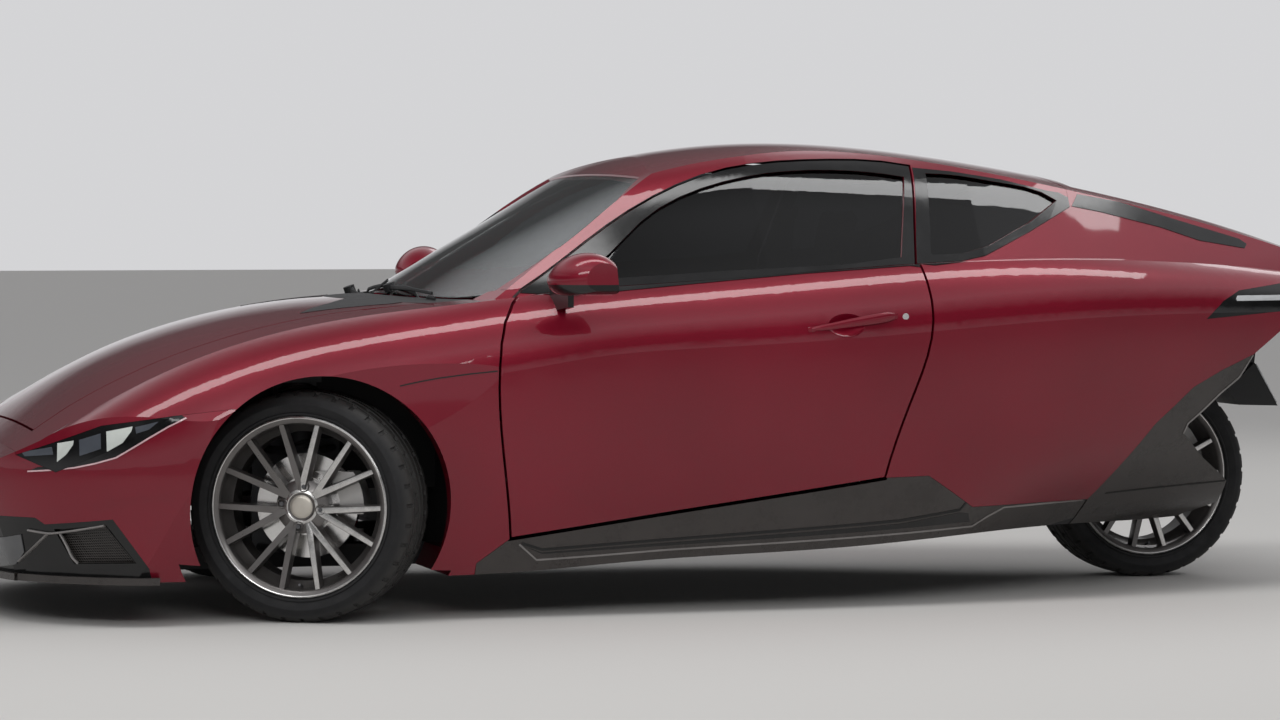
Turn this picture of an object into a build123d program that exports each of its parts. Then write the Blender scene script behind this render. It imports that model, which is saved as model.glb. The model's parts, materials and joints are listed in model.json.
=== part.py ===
from build123d import *
import os
from math import cos, radians, sin, sqrt

# A three wheeled car: two steered wheels in front, one driven wheel behind.
# Millimetres. X runs rearwards from the front axle, Y to the right, Z up from the ground.
# At the end every piece is moved forward by half the length, so that the origin lies
# on the ground under the middle of the car.

# Driving sizes of the whole car
NOSE_X = -950.0            # foremost point of the bumper
TAIL_X = 3350.0            # rearmost point of the tail
WHEELBASE = 2660.0

# Walls and gaps
WALL = 60.0                # whole door, or whole side wall
ROOF_WALL = 34.0           # roof, pillars and window frames
SILL_GAP = 14.0            # under the doors, twice the gap at other edges
SILL_STEP = 42.0           # the sill's inner part lies lower by half of this
SILL_STEP_Y = 812.0
GLASS = 5.0
GLASS_DEPTH = 9.0          # glass stands this far behind the outer skin
GAP = 7.0                  # shut line round doors and lids
SEAT_GAP = 0.3             # between a pane and its frame, and where round pieces seat
SEAM = 0.8                 # between panels that are fixed side by side

# Wheels
TYRE_R = 309.0
TYRE_W = 215.0
RIM_LIP_R = 243.0
RIM_WALL = 9.0
WHEEL_Z = TYRE_R
FRONT_WHEEL_Y = 700.0      # centre plane of a front wheel
KINGPIN_Y = 660.0
PARKED_STEER = -28.0       # degrees, turned to the right as the car stands
SPOKE_PAIRS = 7
LUGS = 4
LUG_CIRCLE_R = 54.0
HUB_FACE_Y = -40.0         # where the rim sits, from the wheel's middle
DISC_R = 140.0
DISC_Y = (-18.0, 4.0)       # its two faces, from the wheel's middle
HUB_BORE_R = 20.0
BEARING_GAP = 0.3
JOINT_GAP = 1.0            # above and below a ball joint
ARCH_R = 351.0             # opening in the fender
ARCH_X = -15.0
WELL_R = 402.0             # space behind the fender
WELL_INNER_Y = 400.0
WELL_OUTER_Y = 800.0
REAR_WELL_R = 372.0
REAR_WELL_Y = 152.0

# Hinges
DOOR_HINGE = (540.0, -858.0)       # x, y of the left door's upright axis
HINGE_Z = (550.0, 690.0)
HINGE_PIN_R = 4.0
EYE_R = 7.0
STRAP_Y = (-792.0, -780.0)         # the strap runs back inside the door's skin
STRAP_X = (422.0, 452.0)           # its foot on the fender
STRAP_H = 20.0
POCKET_H = 32.0
POCKET_INNER_Y = -700.0
BONNET_HINGE = (338.0, 862.0)      # x, z
HATCH_HINGE = (2226.0, 1203.0)     # x, z
BONNET_FRONT_X = -722.0            # front edge of the bonnet at BONNET_FRONT_Z
BONNET_FRONT_Z = 500.0
HATCH_REAR_X = 3120.0
HATCH_REAR_Z = 955.0

# Body sections along the car, x first, then the half section from the floor up:
# bottom z, bottom half width, widest z, widest half width, crest half width, crest z, middle z
BODY_STATIONS = (
    (-1000, 118, 700, 300, 800, 600, 392, 400),
    (-800, 118, 735, 340, 815, 640, 452, 460),
    (-600, 118, 765, 390, 832, 668, 568, 606),
    (-300, 118, 785, 490, 856, 700, 712, 750),
    (0, 118, 790, 585, 870, 716, 794, 826),
    (300, 118, 795, 640, 873, 738, 836, 856),
    (700, 134, 795, 700, 875, 766, 880, 892),
    (1250, 160, 790, 735, 875, 778, 918, 932),
    (1700, 181, 740, 765, 866, 775, 948, 962),
    (2150, 194, 520, 795, 815, 735, 958, 974),
    (2600, 188, 260, 805, 712, 620, 944, 962),
    (3000, 232, 180, 805, 590, 500, 908, 924),
    (3400, 260, 120, 795, 460, 380, 876, 894),
)
# Nose in plan, level by level: z, and how far the nose stands back from NOSE_X there
NOSE_LEVELS = ((60, 75), (270, 22), (400, 0), (520, 25), (1000, 260))
NOSE_CORNER = (100, 520, 620, 850, 70)     # corner x, y, shoulder x, y behind the nose, bulge

# Glasshouse outlines level by level: z, windscreen x in the middle, windscreen corner x and
# half width, then half width at the door, at the rear pillar and at the tail
GLASS_LEVELS = (
    (826, 256, 440, 724, 796, 772, 380),
    (950, 480, 619, 668, 748, 722, 320),
    (1080, 716, 806, 604, 670, 640, 240),
    (1172, 884, 938, 556, 612, 575, 180),
    (1226, 996, 1034, 506, 560, 515, 140),
    (1266, 1130, 1156, 430, 486, 430, 90),
    (1310, 1400, 1420, 300, 360, 300, 40),
)
DOOR_X = 1250.0
REAR_PILLAR_X = 1900.0
GLASS_END_X = 3330.0
SIDE_BULGES = (10, 8, 36)          # of the glasshouse side: front, middle, rear

# Roof line: x, height in the middle, and drop at 600 from the middle
ROOF_STATIONS = (
    (300, 1090, 45),
    (900, 1208, 40),
    (1430, 1292, 44),
    (1920, 1257, 58),
    (2400, 1176, 82),
    (2860, 1056, 90),
    (3400, 884, 70),
)
ROOF_HALF = 900.0
ROOF_DROP_Y = 600.0

# Shut lines in the side view, x and z. Neighbours share their points.
LAMP_INNER = (-790, 450)
LAMP_LOW = (-698, 408)
LAMP_REAR_LOW = (-539, 480)
LAMP_TIP = (-408, 558)
LAMP_TOP = (-585, 532)
ARCH_FRONT = (-257, 575)
DOOR_FRONT = ((505, 217), (482, 403), (463, 592), (469, 725), (484, 785), (519, 843), (565, 884))
DOOR_TOP = (
    (565, 884), (713, 978), (858, 1074), (1001, 1150), (1160, 1206), (1303, 1229), (1484, 1238),
    (1654, 1234), (1738, 1222),
)
DOOR_REAR = ((1686, 948), (1691, 886), (1694, 807), (1684, 727), (1632, 576), (1594, 466), (1567, 361))
WINDOW_TOP = (
    (700, 912), (798, 962), (943, 1082), (1030, 1130), (1152, 1172), (1293, 1199), (1472, 1209),
    (1610, 1203), (1708, 1190),
)
WINDOW_LOW = ((1648, 966), (1490, 948), (1157, 932), (828, 912))
QUARTER_TOP = ((2176, 1124), (2150, 1140), (2007, 1174), (1857, 1196), (1778, 1200))
QUARTER_LOW = ((1738, 972), (1840, 976), (1924, 998), (2070, 1062), (2176, 1124))
QUARTER_SILL = ((1727, 944), (1814, 953), (1902, 969), (2064, 1036), (2215, 1106))
SILL_TOP = ((1567, 361), (1702, 363), (1860, 268))
SILL_REAR = ((2274, 270), (2234, 60))
FAIRING_FRONT = (2240, 60)
FAIRING_LINE = ((2278, 270), (2386, 424), (2432, 490), (2541, 593), (2635, 641), (2742, 684))
FAIRING_REAR = (
    (2660, 90), (2700, 200), (2785, 236), (2764, 307), (2631, 386), (2540, 459), (2547, 487),
    (2590, 525), (2640, 572), (2699, 617),
)
TAIL_UNDER = ((2742, 684), (2829, 747), (2900, 778), (3600, 806))
TAIL_LAMP = (
    (2569, 788), (2630, 839), (2690, 868), (2844, 886), (3000, 884), (3600, 852), (3600, 818),
    (2827, 806),
)
VENT = ((-745, 285), (-722, 268), (-560, 286), (-467, 155), (-440, 60), (-1100, 60), (-1100, 285))
VENT_MESH = ((-700, 256), (-575, 270), (-500, 170), (-650, 165))
MESH_DEPTH = 26.0
HANDLE_DISH = ((1440, -884, 789), (62, 26, 42))    # middle and half sizes
BUMPER_TOP_X = -790.0

# Edges in the plan view, x and half width
BONNET_SIDE = ((-1000, 430), (-633, 452), (-479, 500), (-245, 545), (13, 560), (190, 590))
BONNET_REAR_X = 190.0              # in the middle
BONNET_CORNER = (328, 606)
DOOR_INNER_Y = 500.0
DOOR_BELT_Y = 742.0
# Rear, outer and upper side of the notch that lets the door's lower front corner pass the sill
DOOR_TOE = (570.0, 786.0, 234.0)
WINDSCREEN_BASE_X = 300.0
WINDSCREEN_SIDE = ((500, 668), (597, 662), (690, 643), (783, 613), (867, 584), (958, 500))
WINDSCREEN_TOP_X = 940.0
HATCH_FRONT_X = 2230.0
HATCH_SIDE = ((2230, 470), (2600, 440), (3130, 330))
HATCH_RIM = 40.0

# Left mirror: y, front x, rear x, bottom z, top z
MIRROR_SECTIONS = (
    (-872, 604, 706, 880, 944),
    (-915, 586, 726, 874, 974),
    (-975, 604, 744, 872, 984),
    (-1024, 664, 752, 884, 960),
)

# Running gear
ARM_Z = (178.0, 446.0)             # lower and upper wishbone
ARM_ROOT = ((104.0, 414.0), (104.0, 414.0))    # x either side of the axle, y, lower and upper
ARM_R = 13.0
JOINT_R = 20.0
JOINT_H = 26.0
PIN_R = 6.0
STEER_ARM = (120.0, 15.0)          # behind the kingpin and inboard of it
STEER_ARM_Z = 236.0
RACK_X = 160.0
RACK_R = 24.0
RACK_HALF = 250.0
RACK_BAR_R = 12.0
TIE_R = 7.0
TIE_EYE_R = 12.0
SWING_PIVOT = (2232.0, 300.0)      # x, z
PIVOT_R = 26.0
PIVOT_EAR_R = 34.0
FORK_Y = 134.0                     # middle of a fork beam
FORK_T = 20.0
AXLE_R = 12.5

# Holder of the number plate in the side view, hung under the tail
PLATE_HALF = 112.0
PLATE_WEDGE = ((2992, 638), (2902, 556), (2942, 512), (3068, 508))
PLATE_STALK = ((2984, 600), (3012, 600), (3034, 784.9), (2996, 783.3))

# Cabin
SEAT_Y = 350.0
WHEEL_CENTRE = (1085.0, -350.0, 735.0)    # steering wheel
WHEEL_TILT = 24.0                  # degrees from upright
WHEEL_RIM_R = 180.0
WHEEL_GRIP_R = 14.0
STEERING_RATIO = 15.0
COLUMN_SPAN = (330.0, 68.0)       # far and near end, from the steering wheel

# Structure inside
FLOOR_HALF = ((427, 640), (1700, 640), (2260, 480))
FRONT_FLOOR_X = -600.0
FRONT_FLOOR_Y = WELL_INNER_Y
SHEET = 8.0
JACKS = ((560.0, 122.0), (1560.0, 168.0))      # x and underside of the flat pads for a jack
JACK_Y = 560.0
JACK_R = 40.0
FIREWALL_X = 400.0
REAR_WALL_X = 2052.0
LUGGAGE_Z = WHEEL_Z + REAR_WELL_R + 6     # rests on the well over the rear wheel
LUGGAGE_END_X = 3180.0
TRUNK = (-620.0, 384.0, 330.0, 640.0)     # x from, half width, z from, z to
TRUNK_DEPTH = 68.0                 # below the outer skin, clear of the bonnet


def place(shape, x=0.0, y=0.0, z=0.0):
    return Pos(x, y, z) * shape


def block(x0, x1, y0, y1, z0, z1):
    return Pos((x0 + x1) / 2, (y0 + y1) / 2, (z0 + z1) / 2) * Box(x1 - x0, y1 - y0, z1 - z0)


def rod(start, end, radius):
    """A round bar between two points."""
    a, b = Vector(*start), Vector(*end)
    return extrude(Plane(a, z_dir=b - a) * Circle(radius), amount=(b - a).length)


def drum(x, z, radius, y0, y1):
    """A cylinder lying along Y."""
    return Pos(x, (y0 + y1) / 2, z) * Rot(90, 0, 0) * Cylinder(radius, y1 - y0)


def mirrored(shape):
    return mirror(shape, about=Plane.XZ)


def both_sides(shape):
    return Compound([*shape.solids(), *mirrored(shape).solids()])


def curve(points, steps=2):
    """Points on a smooth line through the given ones."""
    count = steps * (len(points) - 1)
    return [(p.X, p.Y) for p in Spline(*points).positions([i / count for i in range(count + 1)])]


def drawn_in(rows, by):
    """The outline with every edge moved inwards, or outwards where the distance is negative."""
    rows = [row for row, after in zip(rows, [*rows[1:], rows[0]]) if row != after]
    before, after = [rows[-1], *rows[:-1]], [*rows[1:], rows[0]]
    area = sum(x0 * z1 - x1 * z0 for (x0, z0), (x1, z1) in zip(rows, after))
    by = by if area < 0 else -by
    moved = []
    for (x0, z0), (x1, z1), (x2, z2) in zip(before, rows, after):
        a, b = Vector(x1 - x0, z1 - z0).normalized(), Vector(x2 - x1, z2 - z1).normalized()
        share = by / (1 + a.dot(b))
        moved.append((x1 + share * (a.Y + b.Y), z1 - share * (a.X + b.X)))
    return moved


def side_region(rows, gap=GAP, y_in=0.0, y_out=1000.0):
    """The space left of the car inside an outline of the side view, drawn back half a gap."""
    face = make_face(Polyline(*drawn_in(rows, gap / 2), close=True))
    return extrude(Plane.XZ.offset(y_in) * face, amount=y_out - y_in)


def plan_region(half_rows, gap=GAP, z0=300.0, z1=1500.0):
    """The space inside an outline of the plan view, given for one side."""
    rows = [(x, y) for x, y in half_rows] + [(x, -y) for x, y in reversed(half_rows)]
    face = make_face(Polyline(*drawn_in(rows, gap / 2), close=True))
    return extrude(Plane.XY.offset(z0) * face, amount=z1 - z0)


def big_solids(shape, share=0.02):
    """Drops the slivers that a cut leaves."""
    solids = shape.solids()
    largest = max(s.volume for s in solids)
    kept = [s for s in solids if s.volume > share * largest]
    return kept[0] if len(kept) == 1 else Compound(kept)


def body_section(row, inset):
    """One closed section: floor, right side, right shoulder, top, left shoulder, left side."""
    x, zb, wb, zw, ww, wc, zc, zt = row
    zb, wb, ww, wc = zb + inset, wb - inset, ww - inset, wc - inset
    zc, zt = zc - inset, zt - inset
    zw = min(zw, zc - 40)

    def arc_middle(z_end, w_end):
        """Half way up the arc that passes the widest point upright."""
        across, up = ww - w_end, z_end - zw
        radius = (across ** 2 + up ** 2) / (2 * across)
        half = up / 2
        return ww - radius + sqrt(radius ** 2 - half ** 2), zw + half

    wl, zl = arc_middle(zb, wb)
    wu, zu = arc_middle(zc, wc)
    top = Line((x, wc, zc), (x, -wc, zc))
    if abs(zt - zc) > 1:
        top = ThreePointArc((x, wc, zc), (x, 0, zt), (x, -wc, zc))
    return make_face([
        Line((x, -wb, zb), (x, wb, zb)),
        ThreePointArc((x, wb, zb), (x, wl, zl), (x, ww, zw)),
        ThreePointArc((x, ww, zw), (x, wu, zu), (x, wc, zc)),
        top,
        ThreePointArc((x, -wc, zc), (x, -wu, zu), (x, -ww, zw)),
        ThreePointArc((x, -ww, zw), (x, -wl, zl), (x, -wb, zb)),
    ])


def nose_block(inset):
    """Rounds the front corners in plan and leans the face of the bumper."""
    corner_x, corner_y, shoulder_x, shoulder_y, bulge = NOSE_CORNER
    faces = []
    for z, back in NOSE_LEVELS:
        x = NOSE_X + back + inset
        p = lambda u, v: (u, v, z)
        cx, cy = x + corner_x, corner_y - inset * 0.6
        sx, sy = x + shoulder_x, shoulder_y - inset
        mx, my = (cx + sx) / 2 - bulge * 0.6, (cy + sy) / 2 + bulge * 0.8
        faces.append(make_face([
            ThreePointArc(p(cx, cy), p(x, 0), p(cx, -cy)),
            ThreePointArc(p(cx, -cy), p(mx, -my), p(sx, -sy)),
            Line(p(sx, -sy), p(4200, -1000)),
            Line(p(4200, -1000), p(4200, 1000)),
            Line(p(4200, 1000), p(sx, sy)),
            ThreePointArc(p(sx, sy), p(mx, my), p(cx, cy)),
        ]))
    return loft(faces)


def lower_body(inset=0.0):
    shape = loft([body_section(row, inset) for row in BODY_STATIONS])
    shape = shape & nose_block(inset)
    return shape & block(-2000, TAIL_X - inset, -2000, 2000, 0, 2000)


def glass_outline(row, inset):
    z, x_mid, x_corner, *halves = row
    x_mid, x_corner, x_end = x_mid + inset, x_corner + inset, GLASS_END_X - inset
    y_corner, y_door, y_pillar, y_tail = (y - inset for y in halves)
    y_tail = max(y_tail, 20)
    stops = ((x_corner, y_corner), (DOOR_X, y_door), (REAR_PILLAR_X, y_pillar), (x_end, y_tail))
    p = lambda x, y: (x, y, z)
    edges = [ThreePointArc(p(x_corner, y_corner), p(x_mid, 0), p(x_corner, -y_corner))]
    for side in (-1, 1):
        for (x0, y0), (x1, y1), bulge in zip(stops, stops[1:], SIDE_BULGES):
            middle = p((x0 + x1) / 2, side * ((y0 + y1) / 2 + bulge))
            edges.append(ThreePointArc(p(x0, side * y0), middle, p(x1, side * y1)))
    edges.append(Line(p(x_end, -y_tail), p(x_end, y_tail)))
    return make_face(Wire(edges))


def roof_section(row, inset):
    x, z_mid, drop = row
    z_mid = z_mid - inset
    z_edge = z_mid - drop * (ROOF_HALF / ROOF_DROP_Y) ** 2
    base = 500
    return make_face([
        Line((x, -ROOF_HALF, base), (x, ROOF_HALF, base)),
        Line((x, ROOF_HALF, base), (x, ROOF_HALF, z_edge)),
        ThreePointArc((x, ROOF_HALF, z_edge), (x, 0, z_mid), (x, -ROOF_HALF, z_edge)),
        Line((x, -ROOF_HALF, z_edge), (x, -ROOF_HALF, base)),
    ])


def glasshouse(inset=0.0):
    upper = loft([glass_outline(row, inset) for row in GLASS_LEVELS])
    return upper & loft([roof_section(row, inset) for row in ROOF_STATIONS])


def rear_cut():
    """What is cut away under the tail, behind the rear wheel's fairings."""
    return side_region((*FAIRING_REAR, *TAIL_UNDER, (3600, 90)), gap=0, y_in=-1000)


def body_shell():
    """The hollow body with its wheel arches, before it is parted into panels."""
    outer = lower_body() + glasshouse()
    inner = lower_body(WALL) + glasshouse(ROOF_WALL)
    shell = outer - inner - rear_cut()
    arch = drum(ARCH_X, WHEEL_Z, ARCH_R, -1000, -WELL_OUTER_Y)
    well = drum(ARCH_X, WHEEL_Z, WELL_R, -WELL_OUTER_Y, -WELL_INNER_Y)
    shell = shell - arch - well - mirrored(arch) - mirrored(well)
    return shell - drum(WHEELBASE, WHEEL_Z, REAR_WELL_R, -REAR_WELL_Y, REAR_WELL_Y)


def door_region(gap=GAP, y_in=0.0, y_out=1000.0):
    rows = (*curve(DOOR_FRONT)[:-1], *curve(DOOR_TOP), *curve(DOOR_REAR))
    return side_region(rows, gap=gap, y_in=y_in, y_out=y_out)


def window_region(gap=0.0, y_in=0.0):
    return side_region((*curve(WINDOW_TOP), *WINDOW_LOW), gap=gap, y_in=y_in)


def quarter_window_region(gap=0.0, y_in=0.0):
    return side_region((*QUARTER_LOW, *curve(QUARTER_TOP)[1:]), gap=gap, y_in=y_in)


def door_openings():
    """Both door outlines with the shut line round them."""
    left = door_region(gap=-GAP)
    return left + mirrored(left)


def floor_region():
    front = block(FRONT_FLOOR_X, 430, -FRONT_FLOOR_Y, FRONT_FLOOR_Y, 0, 400)
    face = [(x, y) for x, y in FLOOR_HALF]
    return front + plan_region(face, gap=0, z0=0, z1=400)


def bonnet_region(grow=-GAP / 2):
    """Between the fenders, from the cowl to an arc about the bonnet's hinge."""
    cx, cy = BONNET_CORNER[0] + grow, BONNET_CORNER[1] + grow
    right = [(x, y + grow) for x, y in BONNET_SIDE[:-1]] + [(cx, cy)]
    left = [(x, -y) for x, y in right]
    rear = ThreePointArc((cx, cy), (BONNET_REAR_X + grow, 0), (cx, -cy))
    face = make_face([*Polyline(*left[::-1], *right).edges(), rear])
    hx, hz = BONNET_HINGE
    reach = sqrt((hx - BONNET_FRONT_X) ** 2 + (hz - BONNET_FRONT_Z) ** 2) + grow
    return extrude(Plane.XY.offset(300) * face, amount=900) & drum(hx, hz, reach, -900, 900)


def windscreen_region(gap=0.0):
    side = [(x, -y) for x, y in WINDSCREEN_SIDE]
    (bx, by), (tx, ty) = side[0], side[-1]
    edges = [
        ThreePointArc((bx, -by), (WINDSCREEN_BASE_X, 0), (bx, by)),
        *Polyline(*side).edges(),
        ThreePointArc((tx, ty), (WINDSCREEN_TOP_X, 0), (tx, -ty)),
        *Polyline(*[(x, -y) for x, y in side]).edges(),
    ]
    face = make_face(Wire(edges))
    if gap:
        face = offset(face, -gap / 2, kind=Kind.INTERSECTION)
    return extrude(Plane.XY.offset(700) * face, amount=800)


def hatch_region(gap=GAP, rim=0.0):
    """The rear lid in plan, ended behind by an arc about its hinge."""
    (x0, y0), *middle, (x1, y1) = HATCH_SIDE
    rows = [(x0 + rim, y0 - rim), *((x, y - rim) for x, y in middle), (x1 + 200, y1 - rim)]
    hx, hz = HATCH_HINGE
    reach = sqrt((HATCH_REAR_X - hx) ** 2 + (HATCH_REAR_Z - hz) ** 2) - rim - gap / 2
    return plan_region(rows, gap=gap, z0=700) & drum(hx, hz, reach, -900, 900)


def glass_layer():
    """The thin layer behind the outer skin that all panes are cut from."""
    return glasshouse(GLASS_DEPTH) - glasshouse(GLASS_DEPTH + GLASS) - lower_body(-2)


def pane(layer, region):
    return big_solids(layer & region, share=0.2)


# Body panels

def body_frame(shell):
    """Roof, windscreen pillars, middle pillars and the strip under the quarter windows."""
    rows = (
        (470, 880), *curve(DOOR_TOP), DOOR_REAR[0], *QUARTER_SILL,
        (HATCH_FRONT_X, 1400), (470, 1400),
    )
    part = shell & side_region(rows, gap=SEAM, y_in=-1000)
    part = part - windscreen_region() - hatch_region(gap=-GAP) - door_openings()
    window = quarter_window_region()
    return big_solids(part - window - mirrored(window))


def fender(shell):
    rows = (
        LAMP_INNER, LAMP_TOP, LAMP_TIP, ARCH_FRONT, (-200, 575), (-200, 60), (405, 60),
        (414, 150), *curve(DOOR_FRONT), (470, 880), (470, 1100), (BUMPER_TOP_X, 1100),
    )
    part = (shell & side_region(rows, gap=SEAM)) - door_region(gap=-GAP)
    part = part - bonnet_region(GAP / 2) - cowl_region() - floor_region() - windscreen_region()
    return fuse(big_solids(part), *door_straps())


def door_straps():
    """Bent straps on the fender, with eyes for the pins of the left door."""
    x, y = DOOR_HINGE
    (foot_x, foot_end), (y0, y1) = STRAP_X, STRAP_Y
    straps = []
    for z in HINGE_Z:
        low, high = z - STRAP_H / 2, z + STRAP_H / 2
        foot = block(foot_x, foot_end, -830, y1, low, high)
        arm = block(foot_x, x + EYE_R - 1, y0, y1, low, high)
        reach = block(x - EYE_R + 1, x + EYE_R - 1, y, y1, low, high)
        strap = fuse(foot, arm, reach, Pos(x, y, z) * Cylinder(EYE_R, STRAP_H))
        straps.append(strap - Pos(x, y, z) * Cylinder(HINGE_PIN_R + BEARING_GAP, 2 * STRAP_H))
    return straps


def hinged(panel):
    """Cuts pockets for the straps into the left door and sets its pins."""
    x, y = DOOR_HINGE
    for z in HINGE_Z:
        room = block(STRAP_X[0], x + EYE_R + 3, y - 3, POCKET_INNER_Y, z - POCKET_H / 2, z + POCKET_H / 2)
        panel = panel - room - Pos(x, y, z) * Cylinder(EYE_R + 1.5, POCKET_H)
        panel = panel + Pos(x, y, z) * Cylinder(HINGE_PIN_R, POCKET_H + 8)
    return panel


def cowl_region(gap=0.0):
    """The black strip between the bonnet and the windscreen."""
    (cx, cy) = BONNET_CORNER
    rows = ((150, cy - 10), (cx, cy), (500, 650), (600, 650))
    return plan_region(rows, gap=gap, z0=500)


def cowl_panel(shell):
    part = shell & cowl_region(gap=2 * SEAT_GAP)
    return big_solids(part - bonnet_region(GAP / 2) - glasshouse() - door_openings())


def bonnet(shell):
    return big_solids(shell & bonnet_region())


def front_bumper(shell):
    rows = (
        (-1100, 60), (-200, 60), (-200, 575), ARCH_FRONT, LAMP_TIP, LAMP_REAR_LOW, LAMP_LOW,
        LAMP_INNER, (BUMPER_TOP_X, 1100), (-1100, 1100),
    )
    part = shell & side_region(rows, gap=SEAM, y_in=-1000)
    part = part - bonnet_region(GAP / 2) - floor_region()
    vents = side_region(VENT, gap=0, y_in=-1000)
    return big_solids(part - vents)


def front_grille(shell):
    """The black lower face with its two corner vents and their bars."""
    face = shell & side_region(VENT, gap=2 * SEAT_GAP, y_in=-1000)
    mesh = side_region(VENT_MESH, gap=0, y_in=400) - lower_body(MESH_DEPTH)
    return big_solids(face - floor_region() - mesh - mirrored(mesh))


def headlamps(shell):
    rows = (LAMP_INNER, LAMP_LOW, LAMP_REAR_LOW, LAMP_TIP, LAMP_TOP)
    part = shell & side_region(rows, gap=SEAM, y_in=300)
    return both_sides(big_solids(part - bonnet_region(GAP / 2), share=0.2))


def quarter(shell):
    rows = (
        *QUARTER_SILL[::-1], *curve(DOOR_REAR), *SILL_TOP[1:], *FAIRING_LINE, (2920, 700), (3600, 700),
        (3600, 1400), (HATCH_FRONT_X, 1400),
    )
    part = (shell & side_region(rows, gap=SEAM)) - hatch_region(gap=-GAP) - door_region(gap=-GAP)
    part = part - floor_region()
    return big_solids(part - side_region(TAIL_LAMP, gap=0) - tail_region(gap=2 * SEAT_GAP))


def tail_region(gap=0.0):
    return block(2960 + gap / 2, 3600, -280 - gap / 2, 280 + gap / 2, 600, 1400)


def tail_panel(shell):
    part = (shell & tail_region()) - hatch_region(gap=-GAP)
    return big_solids(part - side_region(TAIL_LAMP, gap=0, y_in=-1000))


def tail_lamp(shell):
    return big_solids(shell & side_region(TAIL_LAMP, gap=2 * SEAT_GAP, y_in=-1000), share=0.2)


def side_sills(shell):
    rows = (
        (408, 60), (414, 150), DOOR_FRONT[0], *SILL_TOP, *SILL_REAR,
    )
    part = (shell & side_region(rows, gap=SEAM)) - floor_region() - door_region(gap=-SILL_GAP)
    step = door_region(gap=-SILL_STEP, y_out=SILL_STEP_Y)
    return both_sides(big_solids(part - step))


def rear_fairings():
    """Solid fairings either side of the rear wheel."""
    part = lower_body() & fairings_space()
    part = part - drum(WHEELBASE, WHEEL_Z, REAR_WELL_R, -REAR_WELL_Y, REAR_WELL_Y)
    return big_solids(part - block(2000, 2700, -REAR_WELL_Y, REAR_WELL_Y, 240, 700))


def fairings_space():
    rows = (FAIRING_FRONT, *FAIRING_LINE, *FAIRING_REAR[::-1])
    return side_region(rows, gap=0, y_in=-1000)


# Doors and lids

def door(shell):
    part = shell & door_region(y_in=DOOR_INNER_Y)
    part = part - cowl_region(gap=-GAP) - under_dash_sheet() - window_region()
    toe_x, toe_y, toe_z = DOOR_TOE
    part = part - block(500, toe_x, -toe_y, -700, 200, toe_z)
    middle, halves = HANDLE_DISH
    return hinged(big_solids(part) - Pos(*middle) * scale(Sphere(1), halves))


def under_dash_sheet():
    """What the shell has across the cabin at the foot of the glasshouse, ahead of the window."""
    return block(430, 1000, -DOOR_BELT_Y, -400, 700, GLASS_LEVELS[0][0] + 0.5)


def hatch(shell):
    return big_solids((shell & hatch_region()) - hatch_region(gap=0, rim=HATCH_RIM))


def mirror_section(row):
    """Rounded in front, flat behind: y, front x, rear x, bottom z, top z."""
    y, x0, x1, z0, z1 = row
    p = lambda x, z: (x, y, z)
    front_z = z0 + (z1 - z0) * 0.5
    over = p(x0 + (x1 - x0) * 0.42, z1 - 3)
    return make_face([
        Line(p(x0 + 26, z0), p(x1, z0)),
        Line(p(x1, z0), p(x1 - 6, z1 - 18)),
        ThreePointArc(p(x1 - 6, z1 - 18), over, p(x0, front_z)),
        ThreePointArc(p(x0, front_z), p(x0 + 6, z0 + 12), p(x0 + 26, z0)),
    ])


def mirror_housing():
    """An angular shell on a flat foot at the front corner of the door's window."""
    shell = loft([mirror_section(row) for row in MIRROR_SECTIONS])
    foot = loft([
        Plane((642, -770, 876), z_dir=(0, -1, 0)) * Rectangle(104, 30),
        Plane((652, -900, 884), z_dir=(0, -1, 0)) * Rectangle(92, 16),
    ])
    return shell + foot


# Running gear

def tyre():
    """Turned about Y, centre at the origin."""
    w, r = TYRE_W / 2, TYRE_R
    half = [
        (RIM_LIP_R - 14.6, -w + 41), (RIM_LIP_R - 13.6, -w + 19.2), (RIM_LIP_R + 0.6, -w + 11),
        (RIM_LIP_R + 5, -w + 5), (r - 44, -w), (r - 14, -w + 6), (r - 3, -w + 20), (r, -w + 46),
    ]
    rows = half + [(u, -y) for u, y in reversed(half)]
    return revolve(make_face(Polyline(*rows, close=True)), Axis.Y)


def rim():
    """Barrel, hub and pairs of spokes that meet in a V near the hub."""
    w = TYRE_W / 2 - 8
    lip, seat, well = RIM_LIP_R - 14.6, RIM_LIP_R - 16, RIM_LIP_R - 34
    rows = [
        (lip + 14, -w - 6), (lip + 14, -w + 2), (lip, -w + 10), (seat, -w + 34), (well, -w + 50),
        (well, 30), (seat, 50), (lip, w - 10), (lip + 14, w - 2), (lip + 14, w + 4),
        (lip - 6, w), (seat - RIM_WALL, 50 + 6), (well - RIM_WALL, 34), (well - RIM_WALL, -w + 54),
        (seat - RIM_WALL, -w + 38), (lip - 7, -w),
    ]
    barrel = revolve(make_face(Polyline(*rows, close=True)), Axis.Y)
    hub = drum(0, 0, 72, -78, HUB_FACE_Y - SEAT_GAP)
    spokes = []
    step = 360 / (2 * SPOKE_PAIRS)
    for pair in range(SPOKE_PAIRS):
        for side in (-1, 1):
            angle = 360 / SPOKE_PAIRS * pair
            spokes.append(spoke(angle, angle + side * step / 2))
    body = barrel + hub
    for one in spokes:
        body = body + one
    for lug in range(LUGS):
        a = radians(360 / LUGS * lug + 8)
        body = body - drum(LUG_CIRCLE_R * sin(a), LUG_CIRCLE_R * cos(a), 11, -90, -50)
        body = body - drum(LUG_CIRCLE_R * sin(a), LUG_CIRCLE_R * cos(a), 7, -90, -30)
    return body


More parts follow.
